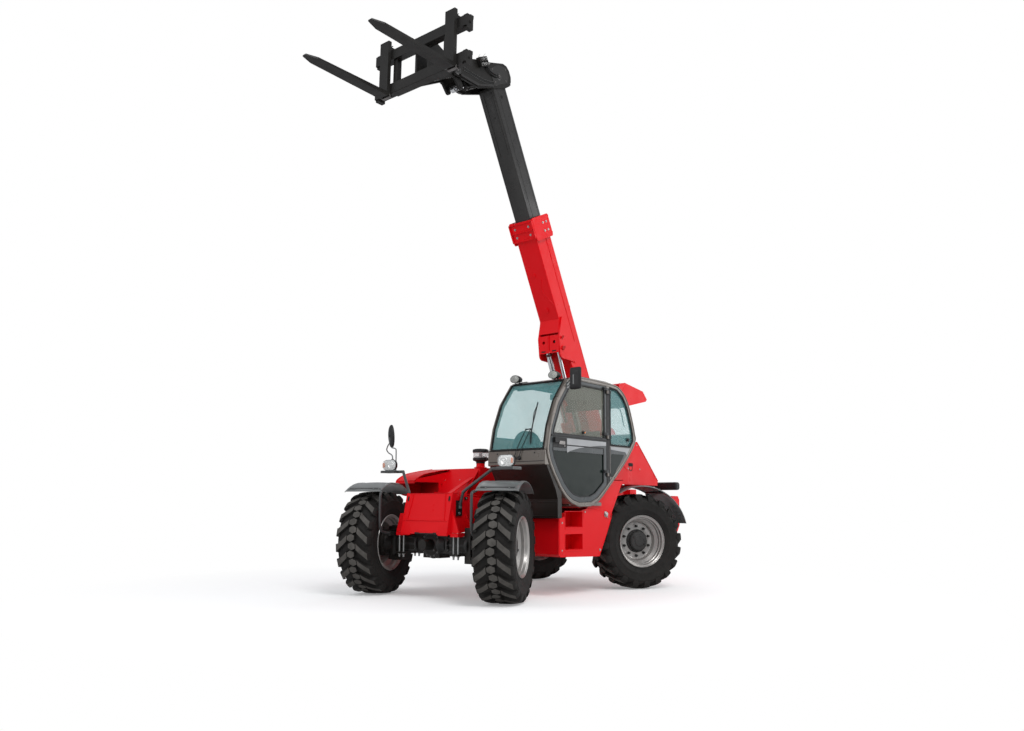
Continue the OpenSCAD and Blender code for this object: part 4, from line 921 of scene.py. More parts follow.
def carriage_trim():
    """Notches, end hooks, latches and seams of the fork carriage."""
    m = Mesh()
    for s in (-1, 1):
        y0, y1 = span(s, 0.712, 0.768)
        for z in (-0.163, 0.269):
            m.box((0.372, y0, z - 0.03), (0.384, y1, z + 0.012))
            m.box((0.372, y0, z + 0.001), (0.425, y1, z + 0.012))
        for z in (-0.2475, 0.1845):
            m.bolt((0.43, s * 0.77, z), (0, s, 0), 0.014)
        # gussets behind the stiffeners
        m.prism([(0.4, -0.16), (0.28, -0.13), (0.21, -0.06), (0.4, -0.02)], *span(s, 0.0885, 0.0845))
    # locating notches' teeth along the top bar
    for k in (-3, -2, -1, 1, 2, 3):
        m.box((0.404, k * 0.118 - 0.024, 0.2472), (0.438, k * 0.118 + 0.024, 0.2568))
    # plate below the lower bar
    m.prism([(0.385, -0.3125), (0.385, -0.3105), (0.494, -0.3105), (0.494, -0.3125)], -0.465, 0.465)
    # weld beads between posts and bars
    for y in (-0.465, -0.395, -0.119, -0.089, 0.089, 0.119, 0.395, 0.465):
        for z in (-0.1845, 0.1215):
            m.tube([(0.412, y, z), (0.47 if abs(y) > 0.2 else 0.438, y, z)], 0.004, seg=8)
    m.done("carriage_trim", BLACK, "fork_carriage", CARRIAGE, bevel=0.0015)

    f = Mesh()
    for s in (-1, 1):
        y = s * 0.56
        # latch on the hook
        f.cyl((0.462, y, 0.288), (0.462, y, 0.312), 0.016)
        f.tube([(0.462, y, 0.309), (0.462, y + 0.01, 0.322), (0.462, y + 0.055, 0.325)], 0.006)
        f.cyl((0.462, y, 0.312), (0.462, y, 0.317), 0.01, seg=16)
        # lower hook behind the bottom bar
        f.box((0.462, y - 0.072, -0.3475), (0.503, y + 0.072, -0.311))
        f.box((0.462, y - 0.072, -0.348), (0.48, y + 0.072, -0.318))
        # stop at the hook's outer edges and chamfered top of the shank
        f.prism([(0.4995, 0.354), (0.506, 0.359), (0.544, 0.359), (0.5505, 0.354)], y - 0.0745, y + 0.0745)
    f.done("fork_latches", STEEL, "fork_carriage", CARRIAGE, bevel=0.0015)


def cylinder_trim(name, body, foot, far, y, d, length, rod_d, paint_b):
    """Gland, ports, weld rings and a pipe on a barrel. Gives the frame along the rod and the rod's reach."""
    a = degrees(atan2(far[1] - foot[1], far[0] - foot[0]))
    at = turned(a, (foot[0], 0, foot[1])) @ Matrix.Translation((0, y, 0))
    r = d / 2
    m = Mesh()
    m.lathe([(rod_d / 2 + 0.0015, length), (r + 0.002, length), (r + 0.002, length + 0.01), (r - 0.006, length + 0.014),
             (rod_d / 2 + 0.012, length + 0.016), (rod_d / 2 + 0.0015, length + 0.02)], seg=48, axis="x")
    m.lathe([(r - 0.001, length - 0.054), (r + 0.0055, length - 0.052), (r + 0.0055, length - 0.046),
             (r - 0.001, length - 0.044)], seg=48, axis="x")
    m.lathe([(r - 0.001, 0.105), (r + 0.004, 0.112), (r - 0.001, 0.119)], seg=48, axis="x")
    for x in (0.16, length - 0.085):
        m.cyl((x, 0, r - 0.004), (x, 0, r + 0.014), 0.016, seg=24)
    m.done(name + "_gland", paint_b, body, at, bevel=0.001)
    p = Mesh()
    p.tube([(0.16, 0, r + 0.012), (0.165, 0, r + 0.022), (0.2, 0, r + 0.024), (length - 0.16, 0, r + 0.024),
            (length - 0.1, 0, r + 0.024), (length - 0.085, 0, r + 0.02), (length - 0.085, 0, r + 0.012)], 0.0065)
    for x in (0.32, length - 0.28):
        p.tube([(x, r * sin(t), r * cos(t)) for t in (-0.28 + 0.07 * k for k in range(9))], 0.003, seg=6)
        p.box((x - 0.01, -0.01, r - 0.001), (x + 0.01, 0.01, r + 0.031))
    p.done(name + "_pipe", STEEL, body, at, smooth=40)
    return at, hypot(far[0] - foot[0], far[1] - foot[1])


def from_frame(x, z, angle, at):
    """The wheelbase point of (x, z) in a frame turned up by an angle in degrees at a point."""
    c, s = cos(radians(angle)), sin(radians(angle))
    return at[0] + x * c - z * s, at[1] + x * s + z * c


def rods():
    """Trim of the three cylinders, and the eyes at their rods' ends."""
    pin = [from_frame(x, z, BOOM_ANGLE, (HEEL_X, HEEL_Z)) for x, z in (LIFT_PIN, LEVEL_PIN, TILT_PIN)]
    tilt_eye = from_frame(-0.109, -0.168, CARRIAGE_ANGLE, (PIVOT.x, PIVOT.z))
    eyes = []
    # name and bodies, foot, eye, y, diameter, barrel's length, rod's diameter, paint, and the eye's radius, half width
    # and neck
    for name, body, foot, far, y, d, length, rod_d, paint_b, r, hw, neck in (
            ("lift", "lift", (-1.63, 1.1), pin[0], -0.076, 0.15, 1.19, 0.08, RED, 0.058, 0.065, 0.04),
            ("levelling", "comp", (-1.56, 1.23), pin[1], 0.076, 0.1, 1.25, 0.05, RED, 0.042, 0.045, 0.04),
            ("tilt", "tilt", pin[2], tilt_eye, 0, 0.1, 0.545, 0.05, BLACK, 0.04, 0.03, 0.018)):
        eyes.append((name, body, *cylinder_trim(name, body + "_barrel", foot, far, y, d, length, rod_d, paint_b), r, hw,
                     neck))
    for name, body, at, reach, r, hw, neck in eyes:
        e = Mesh()
        # painted eye over the rod's end
        for s in (-1, 1):
            e.lathe([(r - 0.018, s * (hw + 0.0002)), (r - 0.002, s * (hw + 0.0002)), (r - 0.005, s * (hw + 0.003)),
                     (r - 0.015, s * (hw + 0.003))], seg=32, at=(reach, 0, 0))
        e.lathe([(r * 0.6, reach - r - neck), (r * 0.74, reach - r - neck * 0.75), (r * 0.8, reach - r + 0.002),
                 (r * 0.5, reach - r + 0.006)], seg=32, axis="x")
        e.cyl((reach + r - 0.003, 0, 0), (reach + r + 0.006, 0, 0), 0.005, seg=10)
        e.done(name + "_rod_eye", STEEL, body + "_rod", at)


boom_trim()
inner_trim()
head_trim()
carriage_trim()
rods()

# ---------------------------------------------------------------- cab
CAB_LINE = [(0.82, 1.697), (0.765, 1.96), (0.64, 2.26), (0.433, 2.53), (0.175, 2.593), (-0.404, 2.585),
            (-0.64, 2.56), (-0.79, 2.47), (-0.898, 2.328), (-0.985, 2.12), (-1.026, 1.99), (-1.035, 1.87),
            (-0.817, 1.614), (-0.386, 1.245), (-0.2, 1.105), (-0.05, 1.05), (0.19, 1.042), (0.34, 1.077),
            (0.45, 1.14), (0.56, 1.24), (0.69, 1.41), (0.773, 1.548)]
HINGE_X = -0.385
# outer sides of the cab on the boom's side and on the left, and the windscreen's edges between them
CAB_Y, SCREEN_Y = (0.27, 1.13), (0.3105, 1.0895)
HINGE_Z = (1.42, 1.88, 2.44)


def clip(poly, k, value, keep):
    """The part of an outline whose coordinate k is above (keep 1) or below (keep -1) a value."""
    out = []
    for i, p in enumerate(poly):
        q = poly[(i + 1) % len(poly)]
        a, b = keep * (p[k] - value), keep * (q[k] - value)
        if a >= 0:
            out.append(p)
        if (a > 0) != (b > 0) and a != b:
            t = a / (a - b)
            out.append((p[0] + (q[0] - p[0]) * t, p[1] + (q[1] - p[1]) * t))
    return [p for i, p in enumerate(out) if hypot(p[0] - out[i - 1][0], p[1] - out[i - 1][1]) > 0.002]


def soften(poly, r=0.03, per=4):
    """Rounds the corners of an outline."""
    out = []
    n = len(poly)
    for i in range(n):
        a, b, c = (V((*poly[(i + k) % n], 0)) for k in (-1, 0, 1))
        ra = min(r, (a - b).length * 0.45)
        rc = min(r, (c - b).length * 0.45)
        p, q = b + (a - b).normalized() * ra, b + (c - b).normalized() * rc
        for k in range(per + 1):
            t = k / per
            s = p * (1 - t) ** 2 + b * 2 * t * (1 - t) + q * t * t
            out.append((s.x, s.y))
    return out


def ribbon(m, pts, t, y0, y1):
    """A band of thickness t on the left of a line in X and Z, from y0 to y1."""
    m.prism(pts + beside(pts, t)[::-1], y0, y1)


DOOR = clip(inset(CAB_LINE, 0.058), 0, -0.383, 1)
DOOR_TOP = clip(clip(inset(CAB_LINE, 0.103), 0, -0.338, 1), 1, 1.885, 1)
DOOR_LOW = clip(clip(inset(CAB_LINE, 0.118), 0, -0.323, 1), 1, 1.76, -1)
QUARTER = clip(clip(inset(CAB_LINE, 0.0523), 0, -0.4603, -1), 1, 1.8003, 1)
QUARTER_LOW = clip(clip(inset(CAB_LINE, 0.06), 0, -0.47, -1), 1, 1.792, -1)
SCREEN = [(0.82, 1.698), (0.765, 1.96), (0.64, 2.26), (0.436, 2.526)]

SLATE = material("door_slate", (0.042, 0.05, 0.054), 0.34, coat=0.08, spec=0.3, var=0.06, spread=1.8, grain=600,
                 bump=0.03)
# dark lower panes: the glass's tint, with the shade of the cab behind it painted in
TINT_AND_SHADE = material("lower_pane", (0.008, 0.015, 0.013), 0.18, spec=0.12, var=0.06, spread=2.0, grain=600, bump=0.02)
SILVER = material("silver_band", (0.28, 0.29, 0.3), 0.36, metal=0.2, coat=0.1, var=0.03, spread=2.0, grain=600,
                  bump=0.03)
APRON = material("apron_brown", (0.017, 0.013, 0.011), 0.4, coat=0.05, spec=0.3, var=0.12, spread=2.0, grain=500,
                 bump=0.06)
MAT = material("floor_mat", (0.02, 0.02, 0.02), 0.8, var=0.2, spread=10, grain=140, bump=0.5, depth=0.002)
LINER = material("cab_liner", (0.1, 0.1, 0.098), 0.85, var=0.08, spread=7, grain=350, bump=0.3)


def cab_seals():
    """Window borders, the panel below the quarter window, the ring faces and the hinge covers."""
    m = Mesh()
    # windscreen's black border
    for y in (0.3105, 1.056):
        ribbon(m, SCREEN, -0.0022, y + (0.0215 if y > 0.7 else 0), y + (0.0335 if y > 0.7 else 0.012))
    ribbon(m, [(0.8205, 1.6965), (0.8175, 1.711)], -0.003, 0.3225, 1.0775)
    ribbon(m, [(0.4495, 2.5085), (0.4365, 2.5255)], -0.003, 0.3225, 1.0775)
    # beads over the screen's sides
    for y in (0.3065, 1.0935):
        m.tube([(x + 0.004, y, z) for x, z in SCREEN], 0.0065, seg=8)
    m.tube([(0.8245, 0.312, 1.6985), (0.8245, 1.088, 1.6985)], 0.0065, seg=8)
    # quarter window and boom-side window
    m.ring(inset(QUARTER, -0.004), inset(QUARTER, 0.018), 1.13, 1.1335)
    m.ring(inset(QUARTER, -0.0015), inset(QUARTER, 0.014), 1.099, 1.1098)
    boom_side = clip(inset(CAB_LINE, 0.0523), 1, 1.8503, 1)
    m.ring(inset(boom_side, -0.004), inset(boom_side, 0.02), 0.266, 0.27)
    # seal that the door closes on
    m.ring(inset(DOOR, -0.014), inset(DOOR, 0.012), 1.074, 1.0896)
    m.done("cab_seals", SEAL_AND_SLOT_SHADE)

    q = Mesh()
    # dark panel below the quarter window, with its pale flash
    q.prism(soften(QUARTER_LOW, 0.025), 1.1295, 1.1325)
    q.mat = 1
    # pale border along the top and the rear edge round a dark pane
    q.prism([(-0.473, 1.788), (-0.473, 1.752), (-0.8, 1.735), (-0.83, 1.7), (-0.575, 1.425), (-0.56, 1.412),
             (-0.6, 1.425), (-0.955, 1.77), (-0.965, 1.788)], 1.1322, 1.134)
    # the dark pane: its tint, with painted shade of the cab behind it
    q.mat = 2
    q.prism(soften([(-0.48, 1.7), (-0.775, 1.7), (-0.55, 1.45), (-0.48, 1.4)], 0.03), 1.1322, 1.1336)
    q.done("quarter_panel", [SLATE, SILVER, TINT_AND_SHADE], bevel=0.0008)

    k = Mesh()
    # rounded outer edge of the side rings
    ring = CAB_LINE
    for y, s in ((1.1302, 1), (0.2698, -1)):
        outer, mid = inset(ring, 0.006), inset(ring, 0.046)
        k.ring(outer, mid, *sorted((y, y + s * 0.006)))
    for y in (1.1302, 1.134):
        k.tube([(x, y, z) for x, z in inset(ring, 0.016)], 0.01, close=True)
    k.done("cab_ring_faces", CAB, bevel=0.0045, smooth=50, seg=3)

    h = Mesh()
    for z in HINGE_Z:
        h.box((-0.4557, 1.1305, z - 0.0007), (-0.3995, 1.1567, z + 0.0395))
        h.bolt((-0.44, 1.1567, z + 0.02), (0, 1, 0), 0.006)
    # dark strip over the pillar behind the door
    h.prism([(-0.458, 1.33), (-0.3885, 1.262), (-0.3885, 2.515), (-0.458, 2.515)], 1.13, 1.132)
    h.done("hinge_covers", PLASTIC, bevel=0.002)


def door_parts():
    """Window frames, recess, lower pane, pale band and latch, all on the door."""
    m = Mesh()
    # upper window's frame and the bar below it
    m.ring(inset(DOOR_TOP, -0.012), inset(DOOR_TOP, 0.004), 1.13, 1.1345)
    m.ring(inset(DOOR_LOW, -0.004), inset(DOOR_LOW, 0.01), 1.13, 1.133)
    m.ring(inset(DOOR_TOP, -0.0015), inset(DOOR_TOP, 0.012), 1.099, 1.1098)
    m.prism([(-0.377, 1.846), (0.728, 1.846), (0.722, 1.866), (-0.377, 1.866)], 1.1295, 1.14)
    # recess and grip
    m.prism(rounded(0.432, 1.722, 0.694, 1.838, 0.018), 1.1295, 1.1345)
    m.box((0.5975, 1.129, 1.7775), (0.6825, 1.1607, 1.8325))
    # straps over the hinges
    for z in HINGE_Z:
        m.box((HINGE_X + 0.014, 1.1315, z + 0.0405), (HINGE_X + 0.0805, 1.1548, z + 0.0747))
        m.bolt((HINGE_X + 0.062, 1.1548, z + 0.057), (0, 1, 0), 0.006)
    m.done("door_black_trim", PLASTIC, "door", bevel=0.0015)

    v = Mesh()
    # dark sheet behind the lower window: painted shade of the cab inside
    v.prism(inset(DOOR_LOW, -0.012), 1.0915, 1.0985)
    # opaque outer pane of the lower window, its darkness the tint and painted shade of the cab behind, and the plain
    # strip over its top
    v.prism(inset(DOOR_LOW, 0.002), 1.1183, 1.1215)
    v.mat = 1
    v.prism(clip(inset(DOOR_LOW, 0.001), 1, 1.685, 1), 1.1217, 1.1296)
    v.done("door_lower_pane_and_shade", [TINT_AND_SHADE, SLATE], "door")
    s = Mesh()
    top = [(0.425, 1.838), (-0.374, 1.838)]
    low = [(-0.374, 1.792), (-0.25, 1.786), (-0.1, 1.772), (0.05, 1.754), (0.18, 1.735), (0.29, 1.712), (0.37, 1.69),
           (0.425, 1.668)]
    s.prism(top + low, 1.13, 1.1318)
    s.done("door_flash", SILVER, "door", bevel=0.0006)

    b = Mesh()
    # latch lever, lock barrel and the window's knob
    b.prism(rounded(0.47, 1.76, 0.585, 1.8, 0.012), 1.1345, 1.14)
    b.cyl((0.475, 1.1345, 1.745), (0.475, 1.1375, 1.745), 0.009)
    b.mat = 1
    b.cyl((0.089, 1.108, 1.925), (0.089, 1.136, 1.925), 0.02, seg=24)
    b.cyl((0.089, 1.136, 1.925), (0.089, 1.146, 1.925), 0.013, 0.01)
    b.mat = 2
    b.cyl((0.089, 1.146, 1.925), (0.089, 1.15, 1.925), 0.0095)
    b.mat = 1
    # inner grab rail, lock case and its rod
    b.tube([(0.52, 1.089, 1.86), (0.52, 1.055, 1.84), (0.45, 1.052, 1.8), (0.2, 1.052, 1.8), (0.13, 1.055, 1.82),
            (0.13, 1.0895, 1.84)], 0.01)
    b.box((0.56, 1.045, 1.775), (0.69, 1.0898, 1.845))
    b.tube([(0.6, 1.05, 1.8), (0.575, 1.04, 1.8), (0.5, 1.04, 1.805)], 0.008, seg=8)
    b.done("door_latch", [STEEL, PLASTIC, AMBER], "door", bevel=0.0008)


def front_panel():
    """Panel below the windscreen and the dark apron below it."""
    m = Mesh()
    m.prism([(0.755, 1.516), (0.832, 1.516), (0.84, 1.524), (0.84, 1.684), (0.832, 1.69), (0.818, 1.69),
             (0.7735, 1.549)], *CAB_Y)
    m.prism([(0.778, 1.69), (0.741, 1.56), (0.7725, 1.549), (0.8185, 1.6965)], *SCREEN_Y)
    m.done("front_panel", CAB, bevel=0.006, smooth=40, seg=3, stands_for=["cab_front_panel"], slot="cab_metal")
    a = Mesh()
    a.prism([(0.7555, 1.5155), (0.8025, 1.5155), (0.8, 1.5), (0.64, 1.24), (0.6, 1.13), (0.53, 1.13), (0.53, 1.208),
             (0.565, 1.235), (0.695, 1.405)], *CAB_Y)
    a.prism([(0.526, 0.915), (0.6, 0.915), (0.604, 1.1295), (0.526, 1.1295)], *CAB_Y)
    # pressed panel edges and fasteners
    a.tube([(0.6045, 0.29, 1.1), (0.6045, 1.11, 1.1)], 0.004, seg=8)
    a.tube([(0.601, 0.29, 0.94), (0.601, 1.11, 0.94)], 0.004, seg=8)
    for y in (0.33, 0.6, 0.86, 1.08):
        a.bolt((0.738, y, 1.3995), (0.852, 0, -0.524), 0.008)
    a.done("cab_apron", APRON, bevel=0.005, smooth=40)
    t = Mesh()
    for y in (0.42, 0.98):
        t.bolt((0.84, y, 1.655), (1, 0, 0), 0.007)
    t.tube([(0.8405, 0.29, 1.56), (0.8405, 1.11, 1.56)], 0.0035, seg=8)
    t.prism([(0.8195, 1.6905), (0.846, 1.6905), (0.846, 1.6965), (0.8215, 1.6965)], 0.285, 1.115)
    t.done("panel_trim", PLASTIC, bevel=0.001)


def interior():
    """Dashboard, console, column, pedals, mat, headliner and the seat with its padded covers."""
    m = Mesh()
    # dashboard: lower shelf and rounded cowl
    m.prism([(0.735, 1.605), (0.64, 1.6), (0.56, 1.52), (0.545, 1.44), (0.6, 1.4), (0.665, 1.442), (0.732, 1.556)],
            0.33, 1.07)
    cowl = [(0.7 + 0.2 * cos(a), 1.6 + 0.33 * max(0, sin(a)) ** 0.8) for a in [pi * k / 14 for k in range(15)]]
    m.prism(cowl, 0.585, 0.695, axis="x")
    low = [(0.7 + 0.33 * cos(a), 1.595 + 0.075 * max(0, sin(a)) ** 0.7) for a in [pi * k / 12 for k in range(13)]]
    m.prism(low, 0.575, 0.765, axis="x")
    # console on the boom side, arm rest and joystick base
    m.prism([(-0.35, 1.101), (0.28, 1.101), (0.26, 1.4), (0.05, 1.56), (-0.33, 1.58)], 0.3105, 0.425)
    m.prism([(-0.4, 1.655), (0.0, 1.665), (0.03, 1.69), (0.0, 1.705), (-0.4, 1.7)], 0.375, 0.445)
    m.tube([(-0.3, 0.41, 1.57), (-0.3, 0.41, 1.66)], 0.02, seg=12)
    # column shroud
    column = Matrix.Translation((0.4, 0.7, 1.168)) @ Matrix.Rotation(radians(-18.8), 4, "Y")
    before = len(m.bm.verts)
    m.lathe([(0.046, 0.2), (0.075, 0.32), (0.085, 0.46), (0.07, 0.545), (0.046, 0.56)], seg=32, axis="z")
    m.move(before, column)
    m.done("dashboard", PLASTIC, bevel=0.006, smooth=40, seg=3)

    i = Mesh()
    i.lathe([(0.0, 0.602), (0.035, 0.602), (0.048, 0.596), (0.052, 0.584), (0.046, 0.56), (0.0, 0.56)], seg=32,
            axis="z", close=False)
    for q in (0.7, 2.4):
        i.tube([(0.07 * cos(q), 0.07 * sin(q), 0.5), (0.15 * cos(q), 0.15 * sin(q), 0.53),
                (0.2 * cos(q), 0.2 * sin(q), 0.535)], 0.006, seg=8)
        i.cyl((0.195 * cos(q), 0.195 * sin(q), 0.535), (0.225 * cos(q), 0.225 * sin(q), 0.537), 0.01, seg=12)
    i.move(0, column)
    # joystick with its gaiter
    i.lathe([(0.0, 1.565), (0.045, 1.567), (0.04, 1.585), (0.03, 1.59), (0.033, 1.6), (0.022, 1.61), (0.024, 1.62),
             (0.01, 1.63), (0.009, 1.7),
             (0.022, 1.72), (0.026, 1.76), (0.02, 1.8), (0.008, 1.812), (0.0, 1.813)], seg=28, axis="z",
             at=(-0.02, 0.385, 0), close=False)
    # pedals
    for y, x in ((0.62, 0.36), (0.79, 0.36), (0.9, 0.34)):
        i.box((-0.03, y - 0.035, -0.005), (0.03, y + 0.035, 0.008),
              Matrix.Translation((x, 0, 1.2)) @ Matrix.Rotation(radians(-50), 4, "Y"))
        i.tube([(x - 0.01, y, 1.19), (x + 0.02, y, 1.16), (x + 0.03, y, 1.105)], 0.008, seg=8)
    i.done("cab_controls", PLASTIC, bevel=0.001, smooth=40)

    f = Mesh()
    f.prism(soften([(-0.3, 0.43), (0.3, 0.43), (0.3, 1.06), (-0.3, 1.06)], 0.04), 1.1005, 1.1065, axis="z")
    for k in range(14):
        x = -0.26 + 0.04 * k
        f.box((x, 0.45, 1.106), (x + 0.012, 1.04, 1.1095))
    f.done("floor_mat", MAT, bevel=0.0008)

    r = Mesh()
    # headliner, its vents and the sun blind's roll
    r.prism([(0.172, 2.545), (-0.395, 2.543), (-0.6, 2.518), (-0.735, 2.438), (-0.725, 2.428), (-0.594, 2.506),
             (-0.395, 2.53), (0.172, 2.532)], 0.315, 1.085)
    r.mat = 1
    for y in (0.45, 0.95):
        for k in range(3):
            r.tube([(-0.1 + 0.02 * cos(t) * (k + 1) * 0.8, y + 0.02 * sin(t) * (k + 1) * 0.8, 2.529)
                    for t in [pi * 2 * j / 16 for j in range(16)]], 0.0025, seg=6, close=True)
    r.cyl((0.36, 0.33, 2.478), (0.36, 1.07, 2.478), 0.02)
    r.cyl((0.375, 0.33, 2.466), (0.375, 1.07, 2.466), 0.006, seg=10)
    # speaker and lamp below the roof's back edge, mirror inside
    r.box((-0.7, 0.345, 2.3), (-0.64, 0.45, 2.44))
    r.tube([(-0.6, 0.36, 2.49), (-0.6, 0.37, 2.4), (-0.59, 0.4, 2.36)], 0.006, seg=8)
    r.box((-0.605, 0.36, 2.27), (-0.575, 0.47, 2.36))
    r.tube([(0.4, 0.98, 2.47), (0.42, 0.98, 2.4), (0.43, 0.97, 2.37)], 0.005, seg=8)
    r.prism(rounded(0.89, 2.3, 1.03, 2.37, 0.015), 0.42, 0.438, axis="x")
    # handle and stay of the quarter window
    r.tube([(-0.705, 1.099, 2.285), (-0.7, 1.09, 2.29), (-0.76, 1.086, 2.275), (-0.8, 1.086, 2.2),
            (-0.838, 1.086, 2.09), (-0.845, 1.099, 2.07)], 0.006, seg=8)
    r.box((-0.895, 1.1, 1.875), (-0.845, 1.1335, 1.915))
    r.cyl((-0.868, 1.1335, 1.893), (-0.868, 1.14, 1.893), 0.014)
    r.done("cab_lining", [LINER, PLASTIC], bevel=0.002, smooth=40)

    # suspension base with its bellows, shell and arm rests
    s = Mesh()
    s.prism([(-0.172, 1.137), (-0.067, 1.1008), (0.062, 1.1008), (0.062, 1.145), (-0.172, 1.17)], 0.515, 0.885)
    for k in range(7):
        z = 1.15 + 0.026 * k
        s.ring(rounded(-0.176, 0.52, 0.056, 0.88, 0.03), rounded(-0.15, 0.546, 0.03, 0.854, 0.02), z, z + 0.013,
               axis="z")
        s.ring(rounded(-0.162, 0.534, 0.042, 0.866, 0.03), rounded(-0.14, 0.556, 0.02, 0.844, 0.02), z + 0.013,
               z + 0.026, axis="z")
    s.prism([(-0.18, 1.332), (0.06, 1.332), (0.07, 1.382), (-0.19, 1.382)], 0.51, 0.89)
    s.prism([(-0.44, 1.38), (0.035, 1.38), (0.045, 1.4), (-0.44, 1.405)], 0.475, 0.925)
    s.prism([(-0.452, 1.385), (-0.425, 1.395), (-0.512, 1.985), (-0.54, 2.0), (-0.568, 1.99)], 0.485, 0.915)
    for y in (0.462, 0.938):
        s.prism([(-0.44, 1.62), (-0.1, 1.62), (-0.08, 1.645), (-0.1, 1.665), (-0.44, 1.665)], y - 0.024, y + 0.024)
        s.tube([(-0.47, 0.5 if y < 0.7 else 0.9, 1.6), (-0.465, y, 1.63), (-0.42, y, 1.64)], 0.014)
    s.cyl((-0.02, 0.475, 1.4), (-0.02, 0.463, 1.4), 0.022, seg=16)
    s.done("seat_frame", PLASTIC, bevel=0.004, smooth=40)

    cushion = pad("seat_cushion", (-0.425, 0.478, 1.404), (0.048, 0.922, 1.482), WB, dip=0.012, bolster=0.016)
    back_at = WB @ Matrix.Translation((-0.404, 0.7, 1.452)) @ Matrix.Rotation(radians(-12.4), 4, "Y")
    back = pad("seat_back", (-0.058, -0.212, 0.02), (0.012, 0.212, 0.555), back_at, dip=0.012, bolster=0.014, face="x")
    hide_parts("seat")


def pad(name, lo, hi, at, dip, bolster, face="z"):
    """A stuffed cover between two corners: rounded edges, raised sides, a sunk middle, seams and creases."""
    n = (14, 14, 5) if face == "z" else (5, 14, 16)
    lo, hi = V(lo), V(hi)
    size = hi - lo
    m = Mesh()
    grid = {}

    def place(i, j, k):
        key = (i, j, k)
        if key in grid:
            return grid[key]
        u = V((i / n[0], j / n[1], k / n[2]))
        c = V([2 * t - 1 for t in u])
        axes = (0, 1, 2)
        thin = 2 if face == "z" else 0
        # corners drawn in like a filled cover
        p = V(c)
        for a in axes:
            b1, b2 = [q for q in axes if q != a]
            pull = 1 - (0.1 if a != thin else 0.42) * max(abs(c[b1]), abs(c[b2])) ** 6 * (1 if a == thin else 0.5)
            p[a] = c[a] * pull
        out = V([lo[a] + (p[a] + 1) / 2 * size[a] for a in axes])
        across, along = (c.y, c.x) if face == "z" else (c.y, c.z)
        if c[thin] > 0.5:
            h = bolster * exp(-((abs(across) - 0.78) / 0.16) ** 2) - dip * exp(-((across / 0.62) ** 2
                                                                                 + (along / 0.75) ** 2))
            # stitched seams across and along the face
            for sline in (-0.33, 0.33):
                h -= 0.01 * exp(-((along - sline) / 0.05) ** 2) * (1 if abs(across) < 0.6 else 0.3)
            h -= 0.008 * exp(-((abs(across) - 0.6) / 0.04) ** 2)
            h += 0.0022 * sin(31 * across + 5 * along) * cos(23 * along - 3 * across)
            out[thin] += h - bolster
        grid[key] = m.bm.verts.new(out)
        return grid[key]

    def quad(a, b, c, d):
        m.bm.faces.new((place(*a), place(*b), place(*c), place(*d)))

    for i in range(n[0]):
        for j in range(n[1]):
            for k in (0, n[2]):
                quad((i, j, k), (i + 1, j, k), (i + 1, j + 1, k), (i, j + 1, k))
    for i in range(n[0]):
        for k in range(n[2]):
            for j in (0, n[1]):
                quad((i, j, k), (i + 1, j, k), (i + 1, j, k + 1), (i, j, k + 1))
    for j in range(n[1]):
        for k in range(n[2]):
            for i in (0, n[0]):
                quad((i, j, k), (i, j + 1, k), (i, j + 1, k + 1), (i, j, k + 1))
    o = m.done(name, CLOTH, "chassis", at, smooth=80)
    sub = o.modifiers.new("Subdivision", "SUBSURF")
    sub.levels = sub.render_levels = 2
    wrinkle = bpy.data.textures.new(name + "_folds", "CLOUDS")
    wrinkle.noise_scale = 0.11
    wrinkle.noise_depth = 2
    dis = o.modifiers.new("Folds", "DISPLACE")
    dis.texture = wrinkle
    dis.strength = 0.006
    dis.mid_level = 0.5
    return o


def roof_parts():
    """Ribs and rain channels of the roof, bolts and panels of the rear cowl."""
    m = Mesh()
    # ribs and rain channels of the roof
    for y in (0.4, 0.52, 0.64, 0.76, 0.88, 1.0):
        m.prism([(0.15, 2.5905), (-0.4, 2.5828), (-0.62, 2.56), (-0.62, 2.563), (-0.4, 2.5905), (0.13, 2.598)],
                y - 0.018, y + 0.018)
    for y in (0.3, 1.1):
        ribbon(m, [(0.42, 2.5345), (0.175, 2.5945), (-0.404, 2.5865), (-0.64, 2.5615), (-0.785, 2.474)], -0.008,
               y - 0.012, y + 0.012)
    # front lip over the windscreen
    m.prism([(0.4375, 2.531), (0.42, 2.535), (0.39, 2.5425), (0.39, 2.547), (0.43, 2.54), (0.448, 2.531)], 0.315, 1.085)
    m.done("roof_ribs", PLASTIC, bevel=0.002, smooth=40)
    c = Mesh()
    for y in (0.36, 1.02):
        c.bolt((-0.86, y, 2.6275), (-0.28, 0, 0.96), 0.01)
        c.bolt((-1.28, y, 2.5795), (-0.16, 0, 0.98), 0.01)
    c.done("cowl_bolts", ZINC, smooth=40)
    d = Mesh()
    d.prism(soften([(-0.93, 2.634), (-1.2, 2.592), (-1.21, 2.5975), (-0.94, 2.6395)], 0.003), 0.42, 0.96)
    for y, s in ((0.31, -1), (1.07, 1)):
        d.prism(soften([(-0.82, 2.5), (-0.9, 2.61), (-1.28, 2.55), (-1.36, 2.475), (-0.93, 2.38)], 0.03),
                *sorted((y, y + s * 0.003)))
    d.done("cowl_panels", RED, bevel=0.0012, smooth=40)


